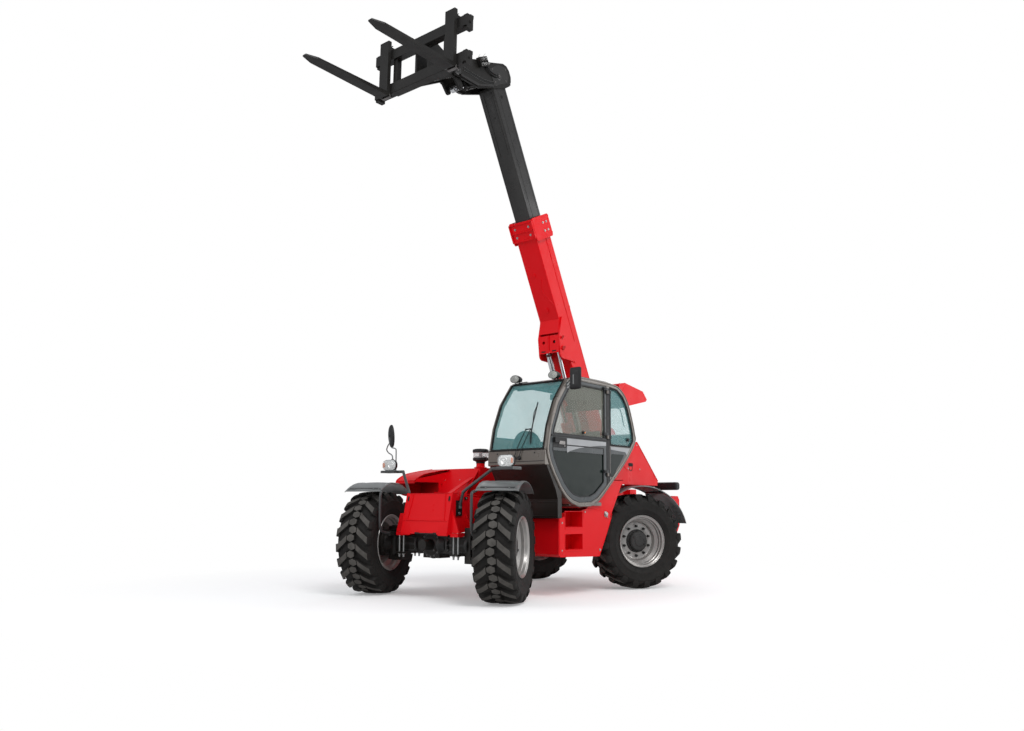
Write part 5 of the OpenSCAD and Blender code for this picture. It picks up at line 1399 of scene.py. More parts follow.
def wiper_parts():
    """Two arms on their pivots, and the blade that they carry."""
    m = Mesh()
    for y in (0.69, 0.76):
        m.lathe([(0.0, 0.866), (0.017, 0.866), (0.022, 0.86), (0.024, 0.8415), (0.0, 0.8415)], seg=24, axis="x",
                at=(0, y, 1.6), close=False)
        m.tube([(0.858, y, 1.6), (0.8575, y + 0.04, 1.7), (0.835, y + 0.085, 1.815), (0.8, y + 0.13, 1.93)], 0.0045,
               seg=8)
        m.lathe([(0.0, 0.805), (0.01, 0.805), (0.01, 0.788), (0.0, 0.788)], seg=16, axis="x", at=(0, y + 0.13, 1.93),
                close=False)
    m.tube([(0.797, 0.815, 1.93), (0.79, 0.9, 1.936)], 0.006, seg=8)
    # spine and lip of the blade, held by two yokes
    line = [(0.8215, 0.904, 1.76), (0.7835, 0.899, 1.962), (0.725, 0.892, 2.105), (0.662, 0.884, 2.258)]
    m.tube(line, 0.005, seg=8)
    m.tube([(x - 0.009, y, z - 0.003) for x, y, z in line], 0.003, seg=6)
    for a, b in ((0, 1), (1, 3)):
        pa, pb = V(line[a]), V(line[b])
        m.tube([pa.lerp(pb, 0.2) + V((0.004, 0, 0)), pa.lerp(pb, 0.5) + V((0.02, 0, 0.006)), pa.lerp(pb, 0.8)
                + V((0.004, 0, 0))], 0.0042, seg=8)
    m.done("wiper_arms", PLASTIC, smooth=40, stands_for=["wiper"])


paint(["cab_door"], SLATE)
cab_seals()
door_parts()
front_panel()
interior()
roof_parts()
wiper_parts()


# ---------------------------------------------------------------- front end
# middle of the axle clamps to either side
CLAMP_Y = 0.44


def nose_parts():
    """Plates, seams, towing slots and axle clamps of the front end."""
    m = Mesh()
    # lower edge plate with its wide notch, and the bevelled strips beside the slanted face
    for a, b in ((-0.369, -0.225), (0.225, 0.369)):
        m.prism([(1.596, 0.716), (1.6215, 0.716), (1.6235, 0.731), (1.5935, 0.8825), (1.59, 0.8815), (1.6, 0.731)], a,
                b)
    m.prism([(1.603, 0.76), (1.6175, 0.76), (1.5935, 0.8825), (1.5905, 0.8815)], -0.226, 0.226)
    for s in (-1, 1):
        # corner plate that stands proud of the slanted face
        outer = [(1.5925, 0.8825), (1.533, 1.187), (1.5285, 1.187), (1.5885, 0.88)]
        m.prism(outer, *span(s, 0.3, 0.3695))
        m.tube([(1.5945, s * 0.298, 0.89), (1.535, s * 0.258, 1.184)], 0.006, seg=8)
        m.prism([(1.6, 0.734), (1.6205, 0.734), (1.592, 0.884), (1.534, 1.187), (1.1, 1.16), (1.1, 1.168),
                 (1.5355, 1.194), (1.5995, 0.885), (1.628, 0.73)], *span(s, 0.362, 0.3725))
        # gusset down to the foot
        if s < 0:
            m.prism([(1.545, 0.748), (1.58, 0.748), (1.52, 0.96), (1.505, 0.96)], *span(s, 0.3705, 0.5))
        for x, top_x, top in ((1.565, 1.545, 1.0), (1.33, 1.33, 0.96)):
            g = [V((x, s * 0.371, 0.748)), V((x, s * 0.5, 0.748)), V((top_x, s * 0.371, top))]
            m.plate(g, [p - V((0.018, 0, 0)) for p in g])
    m.tube([(1.597, -0.36, 0.883), (1.597, 0.36, 0.883)], 0.005, seg=8)
    # folded lip along the top
    m.prism([(1.535, 1.1855), (1.5, 1.1835), (1.5, 1.1895), (1.536, 1.1915)], -0.369, 0.369)
    m.done("nose_plates", RED, bevel=0.002)

    # oblong towing slots in the slanted face, with a bead round each; each slot is a black plate, painted shade of its
    # opening
    d, e = Mesh(), Mesh()
    lean = Matrix.Rotation(-atan2(0.0595, 0.3045), 4, "Y")
    for s in (-1, 1):
        face = Matrix.Translation((1.5448, s * 0.332, 1.128)) @ lean
        o = rounded(-0.016, -0.03, 0.016, 0.03, 0.0155, 4)
        d.plate(*([face @ V((t, y, z)) for y, z in o] for t in (-0.002, 0.0022)))
        e.tube([face @ V((0.002, y, z)) for y, z in rounded(-0.0175, -0.0315, 0.0175, 0.0315, 0.017, 2)], 0.003, seg=6,
               close=True)
    d.done("towing_slots", SEAL_AND_SLOT_SHADE)
    # lifting hook at the left rear corner of the nose's top
    e.tube([(1.36, 0.345, 1.168), (1.36, 0.345, 1.196), (1.375, 0.345, 1.208), (1.39, 0.345, 1.196),
            (1.39, 0.345, 1.168)], 0.008)
    e.done("nose_eyes", RED, smooth=40)

    b = Mesh()
    # bracket plate on the left side of the nose
    b.box((1.395, 0.3725, 0.935), (1.485, 0.386, 1.11))
    b.box((1.3, 0.3725, 1.12), (1.345, 0.38, 1.15))
    # lower clamp plates, and a black plate in the notch of the nose's lower edge, painted shade of the notch
    for s in (-1, 1):
        b.box((1.2685, s * CLAMP_Y - 0.0615, 0.4955), (1.5815, s * CLAMP_Y + 0.0615, 0.5165))
    b.prism([(-0.15, 0.7295), (-0.142, 0.749), (-0.085, 0.749), (-0.079, 0.743), (0.15, 0.743), (0.158, 0.75),
             (0.196, 0.75), (0.206, 0.7295)], 1.615, 1.6232, axis="x")
    b.mat = 1
    for z in (0.965, 1.08):
        b.bolt((1.44, 0.386, z), (0, 1, 0), 0.013)
    b.bolt((1.322, 0.38, 1.135), (0, 1, 0), 0.008)
    for s in (-1, 1):
        # studs and nuts of the axle clamps
        for x in (1.295, 1.545):
            for y in (-0.035, 0.035):
                yy = s * CLAMP_Y + y
                b.cyl((x, yy, 0.484), (x, yy, 0.7285), 0.0116, seg=16)
                b.bolt((x, yy, 0.4965), (0, 0, -1), 0.017)
                b.cyl((x, yy, 0.456), (x, yy, 0.484), 0.0105, seg=12)
                b.bolt((x, yy, 0.7465), (0, 0, 1), 0.016)
    b.done("clamp_studs", [BLACK, ZINC], bevel=0.0008)


def axle_parts(fore):
    """Cast housing over the axle beam: ringed cover, ribs, flange bolts and plugs."""
    n = "front" if fore > 0 else "rear"
    at = WB @ Matrix.Translation((fore * AXLE_X, 0, HUB_Z)) @ Matrix.Rotation(0 if fore > 0 else pi, 4, "Z")
    m = Mesh()
    # cover of the crown wheel
    m.lathe([(0.0, 0.098), (0.06, 0.098), (0.066, 0.092), (0.078, 0.092), (0.086, 0.088), (0.118, 0.0885),
             (0.128, 0.095), (0.142, 0.096), (0.151, 0.09),
             (0.153, 0.06), (0.16, 0.05), (0.0, 0.05)], seg=48, axis="x", close=False)
    # tapered beam tubes with ribs and end flanges
    for s in (-1, 1):
        m.lathe([(0.13, s * 0.12), (0.118, s * 0.15), (0.104, s * 0.2), (0.098, s * 0.205)], seg=40, close=False)
        m.lathe([(0.096, s * 0.236), (0.113, s * 0.24), (0.113, s * 0.262), (0.096, s * 0.266)], seg=40)
        m.lathe([(0.096, s * 0.52), (0.11, s * 0.524), (0.11, s * 0.556), (0.098, s * 0.565)], seg=40)
        for k in range(5):
            y = s * (0.135 + 0.014 * k)
            m.lathe([(0.1, y - 0.003), (0.1265 - 0.004 * k, y - 0.003), (0.1265 - 0.004 * k, y + 0.003),
                     (0.1, y + 0.003)], seg=40)
        y0, y1 = span(s, 0.27, 0.52)
        for x in (-0.0815, 0.0815):
            x0, x1 = sorted((x, x * 1.03))
            for grow, z0, z1 in ((0.003, -0.012, 0.012), (0.002, -0.08, -0.066), (0.002, 0.066, 0.08)):
                m.box((x0 - grow, y0, z0), (x1 + grow, y1, z1))
    m.done(n + "_axle_casting", IRON, "chassis", at, bevel=0.0015)
    b = Mesh()
    for k in range(14):
        a = 2 * pi * (k + 0.5) / 14
        b.bolt((0.096, 0.136 * cos(a), 0.136 * sin(a)), (1, 0, 0), 0.008)
    for s in (-1, 1):
        for k in range(12):
            a = 2 * pi * k / 12
            b.bolt((0.1045 * cos(a), s * 0.266, 0.1045 * sin(a)), (0, s, 0), 0.007)
    b.bolt((0.0985, 0.0, 0.0), (1, 0, 0), 0.014)
    b.bolt((0.092, 0.05, -0.06), (1, 0, 0), 0.01)
    b.cyl((0.05, 0.1, 0.098), (0.05, 0.1, 0.128), 0.01, seg=14)
    # brake pipes
    for s in (-1, 1):
        b.tube([(0.088, s * 0.16, 0.112), (0.089, s * 0.24, 0.122), (0.089, s * 0.4, 0.108), (0.088, s * 0.52, 0.1)],
               0.005, seg=8)
    b.done(n + "_axle_bolts", STEEL, "chassis", at)


# ---------------------------------------------------------------- hood and its fittings
def hood_parts():
    """Hood over the right wing, its louvres and the glass bowl of the air intake."""
    m = Mesh()
    # flank and roof over the wing, both with a rounded front
    crest = [(0.4, 1.524), (0.6, 1.497), (0.779, 1.466), (0.87, 1.446), (0.94, 1.418), (0.995, 1.388), (1.025, 1.362),
             (1.032, 1.33)]
    flank = crest + [(1.018, 1.27), (0.985, 1.222), (0.93, 1.19), (0.86, 1.175), (0.6, 1.06), (0.4, 1.06)]
    m.prism(flank, -1.131, -1.118)
    m.tube([(x, -1.1245, z) for x, z in flank[:-2]], 0.0065, seg=8)
    under = [(x - 0.004, z - 0.01) for x, z in crest]
    m.prism(crest + under[::-1], -1.13, -0.79)
    m.tube([(1.03, -1.125, 1.334), (1.03, -0.795, 1.334)], 0.0065, seg=8)
    # leaning face between the recess and the boom
    edge = [(0.386, 1.524), (0.615, 1.215), (0.615, 1.06), (0.607, 1.06), (0.607, 1.212), (0.378, 1.52)]
    m.plate([(x, -1.074 if z > 1.5 else -0.865, z) for x, z in edge], [(x, -0.285, z) for x, z in edge])
    # seams of the hood's opening panel
    m.tube([(0.3995, -0.29, 1.464), (0.4005, -0.7, 1.464)], 0.003, seg=6)
    m.prism([(0.3985, 1.07), (0.3985, 1.084), (0.404, 1.084), (0.404, 1.07)], -0.78, -0.28)
    # raised panel with its frame on the right side
    m.ring(rounded(-0.56, 1.0, 0.34, 1.345, 0.04), rounded(-0.535, 1.025, 0.315, 1.32, 0.03), -1.1345, -1.1295)
    for x in (-0.62, 0.38):
        m.tube([(x, -1.1305, 0.975), (x, -1.1305, 1.33)], 0.004, seg=8)
    # diagonal brace in front of the hood
    a, b = V((0.415, -0.33, 1.44)), V((0.9, -0.34, 1.19))
    d = (b - a).normalized()
    n = V((-d.z, 0, d.x))
    pts = [V((q.x, y, q.z)) for q, y in ((a, -0.372), (a, -0.3), (b, -0.3), (b, -0.372))]
    m.plate(pts, [q - n * 0.012 for q in pts])
    m.mat = 1
    # dark walls inside the recess, in the darker red of painted shade
    m.prism([(0.6, 1.062), (0.6, 1.44), (0.607, 1.44), (0.607, 1.062)], -1.117, -0.8)
    m.prism([(0.607, 1.062), (0.607, 1.47), (0.86, 1.428), (0.99, 1.372), (1.01, 1.3), (0.98, 1.235), (0.93, 1.205),
             (0.86, 1.19)], -1.1179, -1.114)
    m.prism([(0.4, 1.482), (0.607, 1.472), (0.86, 1.43), (0.99, 1.374), (0.984, 1.368), (0.856, 1.424), (0.607, 1.466),
             (0.4, 1.476)], -1.115, -0.795)
    m.done("hood_trim", [RED, RED_PAINTED_SHADE], bevel=0.0012)

    k = Mesh()
    # louvres on the right side, catches and small fasteners
    for j in range(11):
        z = 1.05 + 0.023 * j
        k.prism([(-1.13, z), (-1.1385, z + 0.003), (-1.13, z + 0.017)], -0.5, 0.28, axis="x")
    k.mat = 1
    for y in (-0.78, -0.52):
        k.bolt((0.492, y, 1.376), (0.82, 0, 0.57), 0.007)
    for x in (-0.56, 0.34):
        k.box((x - 0.02, -1.14, 1.352), (x + 0.02, -1.1295, 1.38))
    k.done("hood_louvres", [PLASTIC, ZINC], bevel=0.0008)

    p = Mesh()
    at = WB @ Matrix.Translation((0.15, -0.48, 0))
    # air intake: red neck, black base, clear bowl, ribbed cap and wing nut
    p.mat = 0
    p.lathe([(0.0, 1.5378), (0.085, 1.5378), (0.088, 1.545), (0.06, 1.556), (0.056, 1.57), (0.056, 1.598),
             (0.0, 1.598)], seg=48, axis="z", close=False)
    p.mat = 1
    p.lathe([(0.0, 1.598), (0.058, 1.598), (0.06, 1.618), (0.072, 1.628), (0.094, 1.634), (0.1, 1.642), (0.1, 1.668),
             (0.094, 1.672), (0.0, 1.672)], axis="z", close=False)
    for j in range(24):
        q = 2 * pi * j / 24
        p.box((0.097, -0.003, 1.64), (0.1015, 0.003, 1.669), Matrix.Rotation(q, 4, "Z"))
    p.lathe([(0.0, 1.74), (0.101, 1.74), (0.105, 1.744), (0.105, 1.77), (0.1, 1.78), (0.072, 1.788), (0.02, 1.79),
             (0.0, 1.79)], axis="z", close=False)
    p.lathe([(0.0, 1.672), (0.022, 1.672), (0.022, 1.74), (0.0, 1.74)], seg=24, axis="z", close=False)
    p.mat = 2
    p.lathe([(0.0, 1.79), (0.01, 1.79), (0.01, 1.7925), (0.005, 1.793), (0.0, 1.793)], seg=16, axis="z", close=False)
    p.lathe([(0.1005, 1.668), (0.1025, 1.668), (0.1025, 1.673), (0.1005, 1.673)], axis="z")
    for q in (0.4, 0.4 + pi):
        p.tube([(0.006 * cos(q), 0.006 * sin(q), 1.7905), (0.02 * cos(q), 0.02 * sin(q), 1.792),
                (0.03 * cos(q), 0.03 * sin(q), 1.7915)], 0.0022, seg=6)
    # dust and chaff in the bowl
    p.mat = 3
    p.lathe([(0.0, 1.6725), (0.09, 1.6725), (0.091, 1.68), (0.06, 1.69), (0.0, 1.686)], seg=40, axis="z", close=False)
    p.done("air_precleaner", [RED, PLASTIC, ZINC, LINER], "chassis", at, bevel=0.0015, smooth=40,
           stands_for=["air_intake"])
    g = Mesh()
    g.lathe([(0.093, 1.6722), (0.097, 1.68), (0.098, 1.725), (0.1, 1.7398), (0.097, 1.7398), (0.095, 1.725),
             (0.094, 1.681), (0.09, 1.6724)], axis="z")
    g.done("precleaner_bowl", LENS, "chassis", at, smooth=40)


# ---------------------------------------------------------------- lamps and mirrors
HEAD_LAMP_Z, ROOF_LAMP_Z = 1.54, 2.588


def head_lamps():
    """Head lamps on their trays, work lamps on the roof and rear lamps."""
    for s, y, side in ((-1, -0.88, "right"), (1, 1.01, "left")):
        def bowl(mesh, rows):
            mesh.loft([[(x, a, b) for a, b in rounded(y - w, HEAD_LAMP_Z - h, y + w, HEAD_LAMP_Z + h, q, 6)] for x, w,
                       h, q in rows])

        m = Mesh()
        bowl(m, [(1.292, 0.045, 0.03, 0.028), (1.3, 0.07, 0.042, 0.036), (1.33, 0.104, 0.058, 0.05),
                 (1.352, 0.114, 0.065, 0.055), (1.366, 0.1155, 0.066, 0.056), (1.369, 0.112, 0.0635, 0.054)])
        # foot and its knuckle
        m.cyl((1.335, y, 1.4702), (1.335, y, 1.5), 0.014)
        m.lathe([(0.0, 1.4702), (0.024, 1.4702), (0.024, 1.476), (0.016, 1.48), (0.0, 1.48)], seg=24, axis="z",
                at=(1.335, y, 0), close=False)
        h = m.done("head_lamp_" + side, PLASTIC, bevel=0.001, smooth=50)
        if s > 0:
            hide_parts("lamps")
        r = Mesh()
        # bowl with its bulb, a fluted rim and the amber end
        bowl(r, [(1.3695, 0.106, 0.059, 0.05), (1.372, 0.105, 0.058, 0.049), (1.3722, 0.06, 0.04, 0.03)])
        r.lathe([(0.044, 1.3722), (0.042, 1.379), (0.03, 1.376), (0.012, 1.3745), (0.01, 1.384), (0.0, 1.386)], seg=40,
                axis="x", at=(0, y - s * 0.03, 1.541), close=False)
        for j in range(5):
            yy = y + s * (0.03 + 0.011 * j)
            r.tube([(1.3735, yy, 1.5), (1.374, yy, 1.541), (1.3735, yy, 1.582)], 0.0022, seg=6)
        r.mat = 1
        a, b = sorted((y + s * 0.082, y + s * 0.1045))
        r.prism(rounded(a, 1.512, b, 1.57, 0.01), 1.3715, 1.386, axis="x")
        r.done("lamp_reflector_" + side, [LAMP, AMBER], bevel=0.0008, smooth=40)
        g = Mesh()
        bowl(g, [(1.3696, 0.1135, 0.0645, 0.055), (1.385, 0.111, 0.0625, 0.054), (1.395, 0.099, 0.054, 0.047),
                 (1.3995, 0.06, 0.033, 0.03)])
        g.done("lamp_lens_" + side, LENS, smooth=50)
        # rim and bolts of the tray, clips on the tube
        t = Mesh()
        t.ring(rounded(1.2545, y - 0.1255, 1.4005, y + 0.1255, 0.006, 1), rounded(1.262, y - 0.118, 1.393, y + 0.118,
                                                                                  0.005, 1), 1.4692, 1.4745, axis="z")
        for x, yy in ((1.275, y - 0.09), (1.275, y + 0.09), (1.385, y + 0.09), (1.385, y - 0.09)):
            t.bolt((x, yy, 1.4697), (0, 0, 1), 0.007)
        y0, y1 = span(s, 0.3868, 0.405)
        t.box((1.425, y0, 1.02), (1.455, y1, 1.052))
        t.done("tray_rim_" + side, GREY, bevel=0.0012)

    # work lamps on the roof
    m, r, g = Mesh(), Mesh(), Mesh()
    for y in (0.4, 0.99):
        def wide_bowl(mesh, rows):
            first = len(mesh.bm.verts)
            mesh.lathe(rows, seg=40, axis="x", at=(0, y, ROOF_LAMP_Z), close=False)
            for v in list(mesh.bm.verts)[first:]:
                v.co.y = y + (v.co.y - y) * 1.3
                v.co.z = ROOF_LAMP_Z + (v.co.z - ROOF_LAMP_Z) * 0.86

        wide_bowl(m, [(0.0, 0.411), (0.03, 0.412), (0.038, 0.42), (0.05, 0.455), (0.0555, 0.49), (0.0555, 0.512),
                      (0.052, 0.514), (0.05, 0.508), (0.0, 0.508)])
        m.tube([(0.413, y, 2.539), (0.413, y, 2.56), (0.425, y, 2.58)], 0.009, seg=12)
        m.tube([(0.445, y - 0.056, ROOF_LAMP_Z), (0.44, y - 0.058, 2.552), (0.415, y - 0.03, 2.542), (0.413, y, 2.541),
                (0.415, y + 0.03, 2.542), (0.44, y + 0.058, 2.552), (0.445, y + 0.056, ROOF_LAMP_Z)], 0.004, seg=8)
        m.lathe([(0.0, 2.5386), (0.02, 2.5386), (0.02, 2.544), (0.0, 2.545)], seg=20, axis="z", at=(0.413, y, 0),
                close=False)
        wide_bowl(r, [(0.049, 0.5085), (0.04, 0.5087), (0.018, 0.5083), (0.01, 0.512), (0.0, 0.513)])
        for j in range(5):
            z = ROOF_LAMP_Z - 0.028 + 0.014 * j
            w = 1.28 * sqrt(max(0, 0.046 ** 2 - ((z - ROOF_LAMP_Z) / 0.86) ** 2))
            r.tube([(0.5108, y - w, z), (0.5115, y, z), (0.5108, y + w, z)], 0.0018, seg=6)
        wide_bowl(g, [(0.0515, 0.509), (0.051, 0.514), (0.04, 0.518), (0.02, 0.5197), (0.0, 0.52)])
    m.done("roof_lamp_housings", PLASTIC, bevel=0.0008, smooth=40)
    r.done("roof_lamp_reflectors", material("smoked_reflector", (0.2, 0.2, 0.16), 0.25, metal=0.5, coat=0.6, var=0.2,
                                            spread=25, grain=80, bump=0.3), smooth=40)
    g.done("roof_lamp_lenses", LENS, smooth=40)

    # rear lamps: dark tubes with red and amber ends facing back
    m, r = Mesh(), Mesh()
    for s in (-1, 1):
        m.loft([[(-2.2 + k * a, s * (0.7205 + t), 1.3385 + k * b) for a, b in rounded(-0.0505, -0.0545, 0.0505, 0.0545,
                                                                                      0.026)]
                for t, k in ((0, 0.7), (0.012, 0.92), (0.035, 1.0), (0.324, 1.0), (0.347, 0.93), (0.359, 0.72))])
        for a, b, q in ((0.02, 0.12, 1), (0.13, 0.22, 0), (0.23, 0.335, 2)):
            r.mat = q
            r.prism(rounded(-2.254, 1.298, -2.248, 1.38, 0.0025, 2), *span(s, 0.7205 + a, 0.7205 + b))
    m.done("rear_lamp_housings", PLASTIC, bevel=0.001, smooth=40)
    r.done("rear_lamp_lenses", [RED_LENS, AMBER, LENS], bevel=0.0008, smooth=40)


def mirror_parts():
    """Both mirrors on their bent tubes."""
    m, g, t = Mesh(), Mesh(), Mesh()
    # right mirror: an oval shell on a double bent tube
    at = Matrix.Translation((1.3, -0.93, 1.905)) @ Matrix.Rotation(radians(-22), 4, "Z") @ Matrix.Rotation(radians(4),
                                                                                                           4, "Y")
    m.loft([[at @ V((x, 0.08 * k * c, 0.138 * k * e * (1 + 0.06 * c))) for c, e in around(36, 1)] for x, k in (
        (-0.014, 0.93), (-0.012, 1.0), (-0.004, 1.02), (0.01, 0.97), (0.02, 0.82), (0.026, 0.55), (0.028, 0.0001))],
        ends=1)
    pane = [at @ V((-0.015, 0.072 * c, 0.126 * e)) for c, e in around(36, 1)]
    g.plate(pane, [p + at.to_3x3() @ V((0.003, 0, 0)) for p in pane])
    m.cyl(at @ V((0.024, 0, 0)), at @ V((0.034, 0, 0)), 0.014)
    # left mirror: a tapered square housing beside the front pillar
    face = rounded(1.2725, 2.3825, 1.4275, 2.6375, 0.022)
    mid = rounded(1.2775, 2.3875, 1.4225, 2.6325, 0.024)
    far = rounded(1.302, 2.412, 1.398, 2.608, 0.02)
    end = rounded(1.315, 2.43, 1.385, 2.59, 0.016)
    m.loft([[(x, a, b) for a, b in o] for x, o in ((0.543, face), (0.556, face), (0.5625, mid), (0.5735, far),
                                                   (0.5755, end))])
    g.prism(rounded(1.281, 2.391, 1.419, 2.629, 0.018), 0.5405, 0.544, axis="x")
    m.done("mirror_shells", PLASTIC, bevel=0.0015, smooth=40, stands_for=["mirrors"])
    g.done("mirror_faces", MIRROR, smooth=40)
    t.tube([(1.275, -0.93, 1.4705), (1.275, -0.93, 1.64), (1.272, -0.965, 1.68), (1.27, -1.01, 1.7),
            (1.28, -1.035, 1.74), (1.3, -0.99, 1.79), (1.318, -0.935, 1.83), (1.326, -0.93, 1.89)], 0.0075, seg=12)
    t.tube([(1.29, -0.85, 1.4705), (1.29, -0.85, 1.7), (1.288, -0.865, 1.745), (1.288, -0.93, 1.762),
            (1.3, -0.95, 1.79), (1.316, -0.936, 1.826)], 0.0075, seg=12)
    t.box((1.268, -0.945, 1.4703), (1.284, -0.838, 1.476))
    t.box((1.266, -0.946, 1.56), (1.284, -0.914, 1.62))
    # arm of the left mirror with its hinge
    t.tube([(0.43, 1.1365, 2.48), (0.452, 1.175, 2.497), (0.505, 1.26, 2.52), (0.56, 1.318, 2.525),
            (0.5655, 1.33, 2.525)], 0.0085, seg=12)
    t.tube([(0.43, 1.1365, 2.445), (0.455, 1.185, 2.455), (0.51, 1.265, 2.462), (0.56, 1.32, 2.465),
            (0.5655, 1.33, 2.465)], 0.0065, seg=12)
    t.box((0.408, 1.1305, 2.425), (0.448, 1.145, 2.5))
    t.cyl((0.572, 1.335, 2.44), (0.572, 1.335, 2.55), 0.01)
    t.done("mirror_arms", GREY, bevel=0.0012, smooth=40)


# ---------------------------------------------------------------- left side and tail
def left_side():
    """Treads, cover panels, ribs and fittings of the left body."""
    m = Mesh()
    # tank front panel, edge beads and saw-toothed treads
    m.prism([(0.505, 0.512), (0.505, 0.895), (0.412, 0.915), (0.412, 0.498)], 1.0798, 1.0835)
    m.tube([(0.5205, 1.0795, 0.505), (0.5205, 1.0795, 0.903)], 0.005, seg=8)
    m.tube([(-0.29, 1.0795, 0.454), (-0.541, 1.0795, 0.9), (-0.498, 1.0795, 0.983), (-0.065, 1.0795, 1.028)], 0.004,
           seg=8)
    m.prism([(-0.515, 0.905), (-0.475, 0.965), (0.04, 1.0), (0.04, 0.905)], 1.0798, 1.083)
    for z in (0.54, 0.8):
        m.box((0.06, 1.062, z - 0.012), (0.4, 1.0845, z + 0.004))
        for k in range(17):
            x = 0.062 + 0.02 * k
            for top, y0, y1 in ((0.017, 1.072, 1.079), (0.013, 0.93, 0.936), (0.011, 1.0, 1.006))[:3 if k % 3 == 1
                                                                                                  else 2]:
                m.prism([(x, z + 0.0035), (x + 0.016, z + 0.0035), (x + 0.008, z + top)], y0, y1)
        m.ring(rounded(0.052, z - 0.006, 0.408, z + 0.196, 0.01, 2), rounded(0.061, z + 0.002, 0.399, z + 0.189, 0.008,
                                                                             2), 1.0798, 1.084)
    # panel that joins the tank to the rear cover, its rear edge folded in
    fill = [(-0.5, 0.984), (-0.543, 0.9), (-0.681, 1.115), (-0.814, 1.323), (-0.85, 1.384), (-0.56, 1.384),
            (-0.395, 1.236), (-0.205, 1.094), (-0.06, 1.036), (-0.06, 1.029)]
    m.prism(fill, 1.04, 1.06)
    ribbon(m, [(-0.545, 0.905), (-0.681, 1.115), (-0.814, 1.323), (-0.85, 1.384)], -0.01, 0.56, 1.0595)
    # skirt that closes the cover down to the mudguard's crown
    m.prism([(-0.85, 1.338), (-1.86, 1.338), (-1.86, 1.384), (-0.85, 1.384)], 0.948, 0.9595)
    m.prism([(-1.8605, 1.338), (-1.85, 1.338), (-1.85, 1.384), (-1.8605, 1.384)], 0.425, 0.9595)
    m.prism([(-0.56, 1.375), (-0.85, 1.375), (-0.85, 1.385), (-0.56, 1.385)], 0.955, 1.06)
    # rear cover: raised panel, and beads along its folded ridges
    m.prism([(-1.1, 1.52), (-0.88, 1.68), (-1.06, 1.87), (-1.31, 1.885), (-1.44, 1.77), (-1.44, 1.52)], 0.9598, 0.964)
    for y in (0.9605, 0.4195):
        m.tube([(-1.335, y, 1.902), (-1.402, y, 1.848), (-1.858, y, 1.402)], 0.006, seg=8)
    m.tube([(-1.863, 0.425, 1.399), (-1.863, 0.955, 1.399)], 0.006, seg=8)
    m.tube([(-1.752, 0.85, 1.5), (-1.86, 0.83, 1.485), (-2.12, 0.76, 1.415), (-2.185, 0.745, 1.397)], 0.0125, seg=12)
    for k in range(7):
        x, z = -1.47 - 0.05 * k, 1.7825 - 0.0493 * k
        m.prism([(x, z + 0.0015), (x - 0.03, z - 0.029), (x - 0.008, z + 0.001)], 0.52, 0.86)
    m.done("left_side_trim", RED, bevel=0.0012)
    k = Mesh()
    # filler cap and drain plug
    k.lathe([(0.0, 1.108), (0.02, 1.108), (0.026, 1.103), (0.03, 1.0985), (0.03, 1.088), (0.036, 1.086),
             (0.036, 1.0795), (0.0, 1.0795)], seg=32, at=(-0.424, 0, 0.957), close=False)
    k.bolt((-0.3, 1.0798, 0.53), (0, 1, 0), 0.012)
    for y, places in ((1.083, ((0.46, 0.545), (0.46, 0.86), (-0.46, 0.925), (0.01, 0.985))),
                      (0.964, ((-1.12, 1.545), (-0.93, 1.69), (-1.4, 1.545), (-1.33, 1.86)))):
        for x, z in places:
            k.bolt((x, y, z), (0, 1, 0), 0.008)
    k.mat = 1
    k.prism(rounded(-1.235, 1.575, -1.125, 1.62, 0.02), 0.9638, 0.9665)
    k.lathe([(0.036, 0.96), (0.044, 0.96), (0.044, 0.967), (0.036, 0.967)], seg=32, at=(-1.18, 0, 1.56))
    k.done("left_side_fittings", [ZINC, SEAL_AND_SLOT_SHADE], bevel=0.0008)


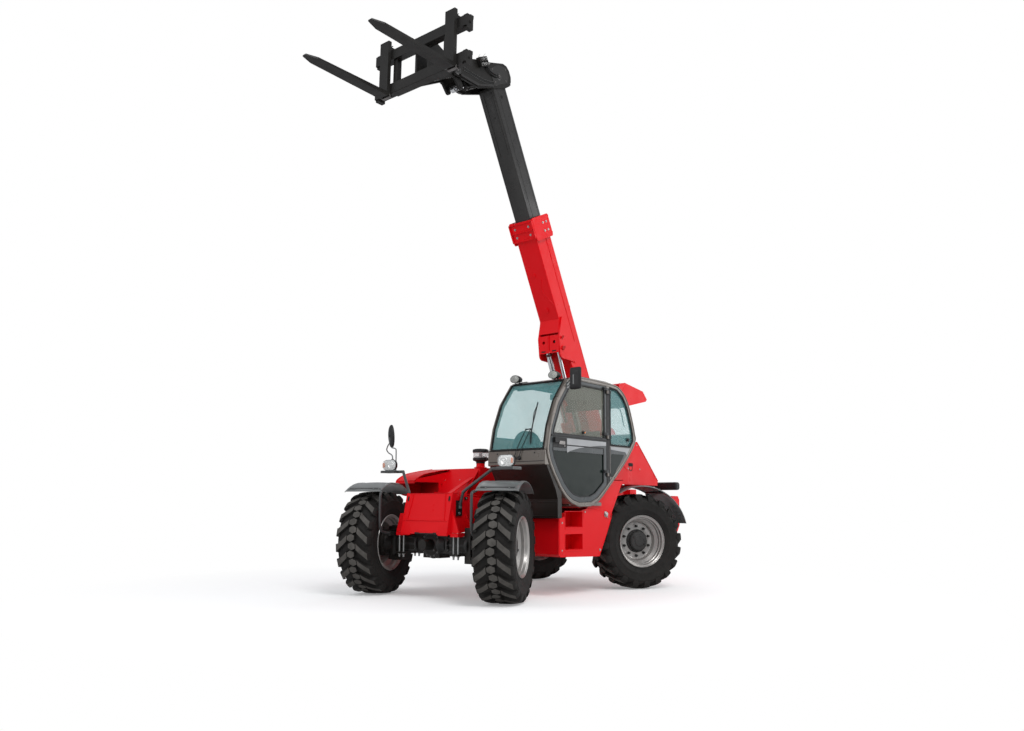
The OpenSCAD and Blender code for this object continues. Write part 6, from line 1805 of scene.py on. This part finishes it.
def tower_and_tail():
    """Pin bosses and beads of the boom tower, details of the counterweight."""
    m = Mesh()
    for s in (-1, 1):
        m.lathe([(0.048, s * 0.2298), (0.128, s * 0.2298), (0.128, s * 0.2375), (0.12, s * 0.2415),
                 (0.048, s * 0.2415)], seg=56, at=(HEEL_X, 0, HEEL_Z))
        m.ring(rounded(-2.01, 1.24, -1.81, 1.5, 0.03), rounded(-1.99, 1.26, -1.83, 1.48, 0.02),
               *span(s, 0.2298, 0.2345))
        # edge beads up the tower's sides
        m.tube([(-2.195, s * 0.2305, 0.93), (-1.945, s * 0.2305, 1.985)], 0.005, seg=8)
        m.tube([(-1.055, s * 0.2305, 1.09), (-1.69, s * 0.2305, 2.105)], 0.005, seg=8)
    # counterweight: cast slot and chamfered bands
    m.ring(rounded(-0.86, 0.865, 0.86, 1.12, 0.05), rounded(-0.835, 0.89, 0.835, 1.095, 0.04), -2.454, -2.4495,
           axis="x")
    for s in (-1, 1):
        m.prism(rounded(-2.39, 0.83, -2.28, 1.12, 0.02), *span(s, 0.9498, 0.953))
    m.box((-2.42, -0.24, 1.2035), (-2.36, 0.24, 1.215))
    m.done("tower_trim", RED, bevel=0.002)
    k = Mesh()
    for s in (-1, 1):
        k.cyl((HEEL_X, s * 0.2422, HEEL_Z), (HEEL_X, s * 0.247, HEEL_Z), 0.039, seg=40)
        k.bolt((HEEL_X, s * 0.247, HEEL_Z), (0, s, 0), 0.016)
        y0, y1 = span(s, 0.2415, 0.2455)
        k.box((-1.812, y0, 1.93), (-1.788, y1, 1.985))
        k.bolt((HEEL_X, s * 0.2455, 1.95), (0, s, 0), 0.009)
    for y in (-0.62, 0.62):
        k.bolt((TAIL_X, y, 0.985), (-1, 0, 0), 0.028)
    for y in (-0.16, 0.16):
        k.bolt((-2.39, y, 1.215), (0, 0, 1), 0.014)
    # tow pin behind the counterweight
    k.mat = 1
    k.prism([(-2.4495, 0.765), (-2.3775, 0.705), (-2.3775, 0.765)], -0.05, 0.05)
    k.mat = 0
    k.cyl((-2.4, 0, 0.7655), (-2.4, 0, 0.815), 0.016)
    k.done("tail_fittings", [STEEL, BLACK], bevel=0.0012)


def underside():
    """Gearbox and drive shafts that show below the frame."""
    m = Mesh()
    m.box((-0.3, -0.16, 0.56), (0.2, 0.16, 0.76))
    m.lathe([(0.1, -0.34), (0.115, -0.335), (0.115, -0.305), (0.1, -0.3)], seg=32, axis="x", at=(0, 0, 0.65))
    m.lathe([(0.1, 0.2), (0.115, 0.205), (0.115, 0.235), (0.1, 0.24)], seg=32, axis="x", at=(0, 0, 0.65))
    m.mat = 1
    for a, b in ((0.24, 1.17), (-0.34, -1.17)):
        m.cyl((a, 0, 0.65), (b, 0, 0.61), 0.034, seg=24)
        for x, z in ((a, 0.65), (b, 0.61)):
            m.lathe([(0.02, x - 0.03), (0.062, x - 0.03), (0.062, x + 0.03), (0.02, x + 0.03)], seg=24, axis="x",
                    at=(0, 0, z))
    m.done("drive_line", [IRON, STEEL], bevel=0.003, smooth=40)


nose_parts()
axle_parts(1)
axle_parts(-1)
hood_parts()
head_lamps()
mirror_parts()
left_side()
tower_and_tail()
underside()
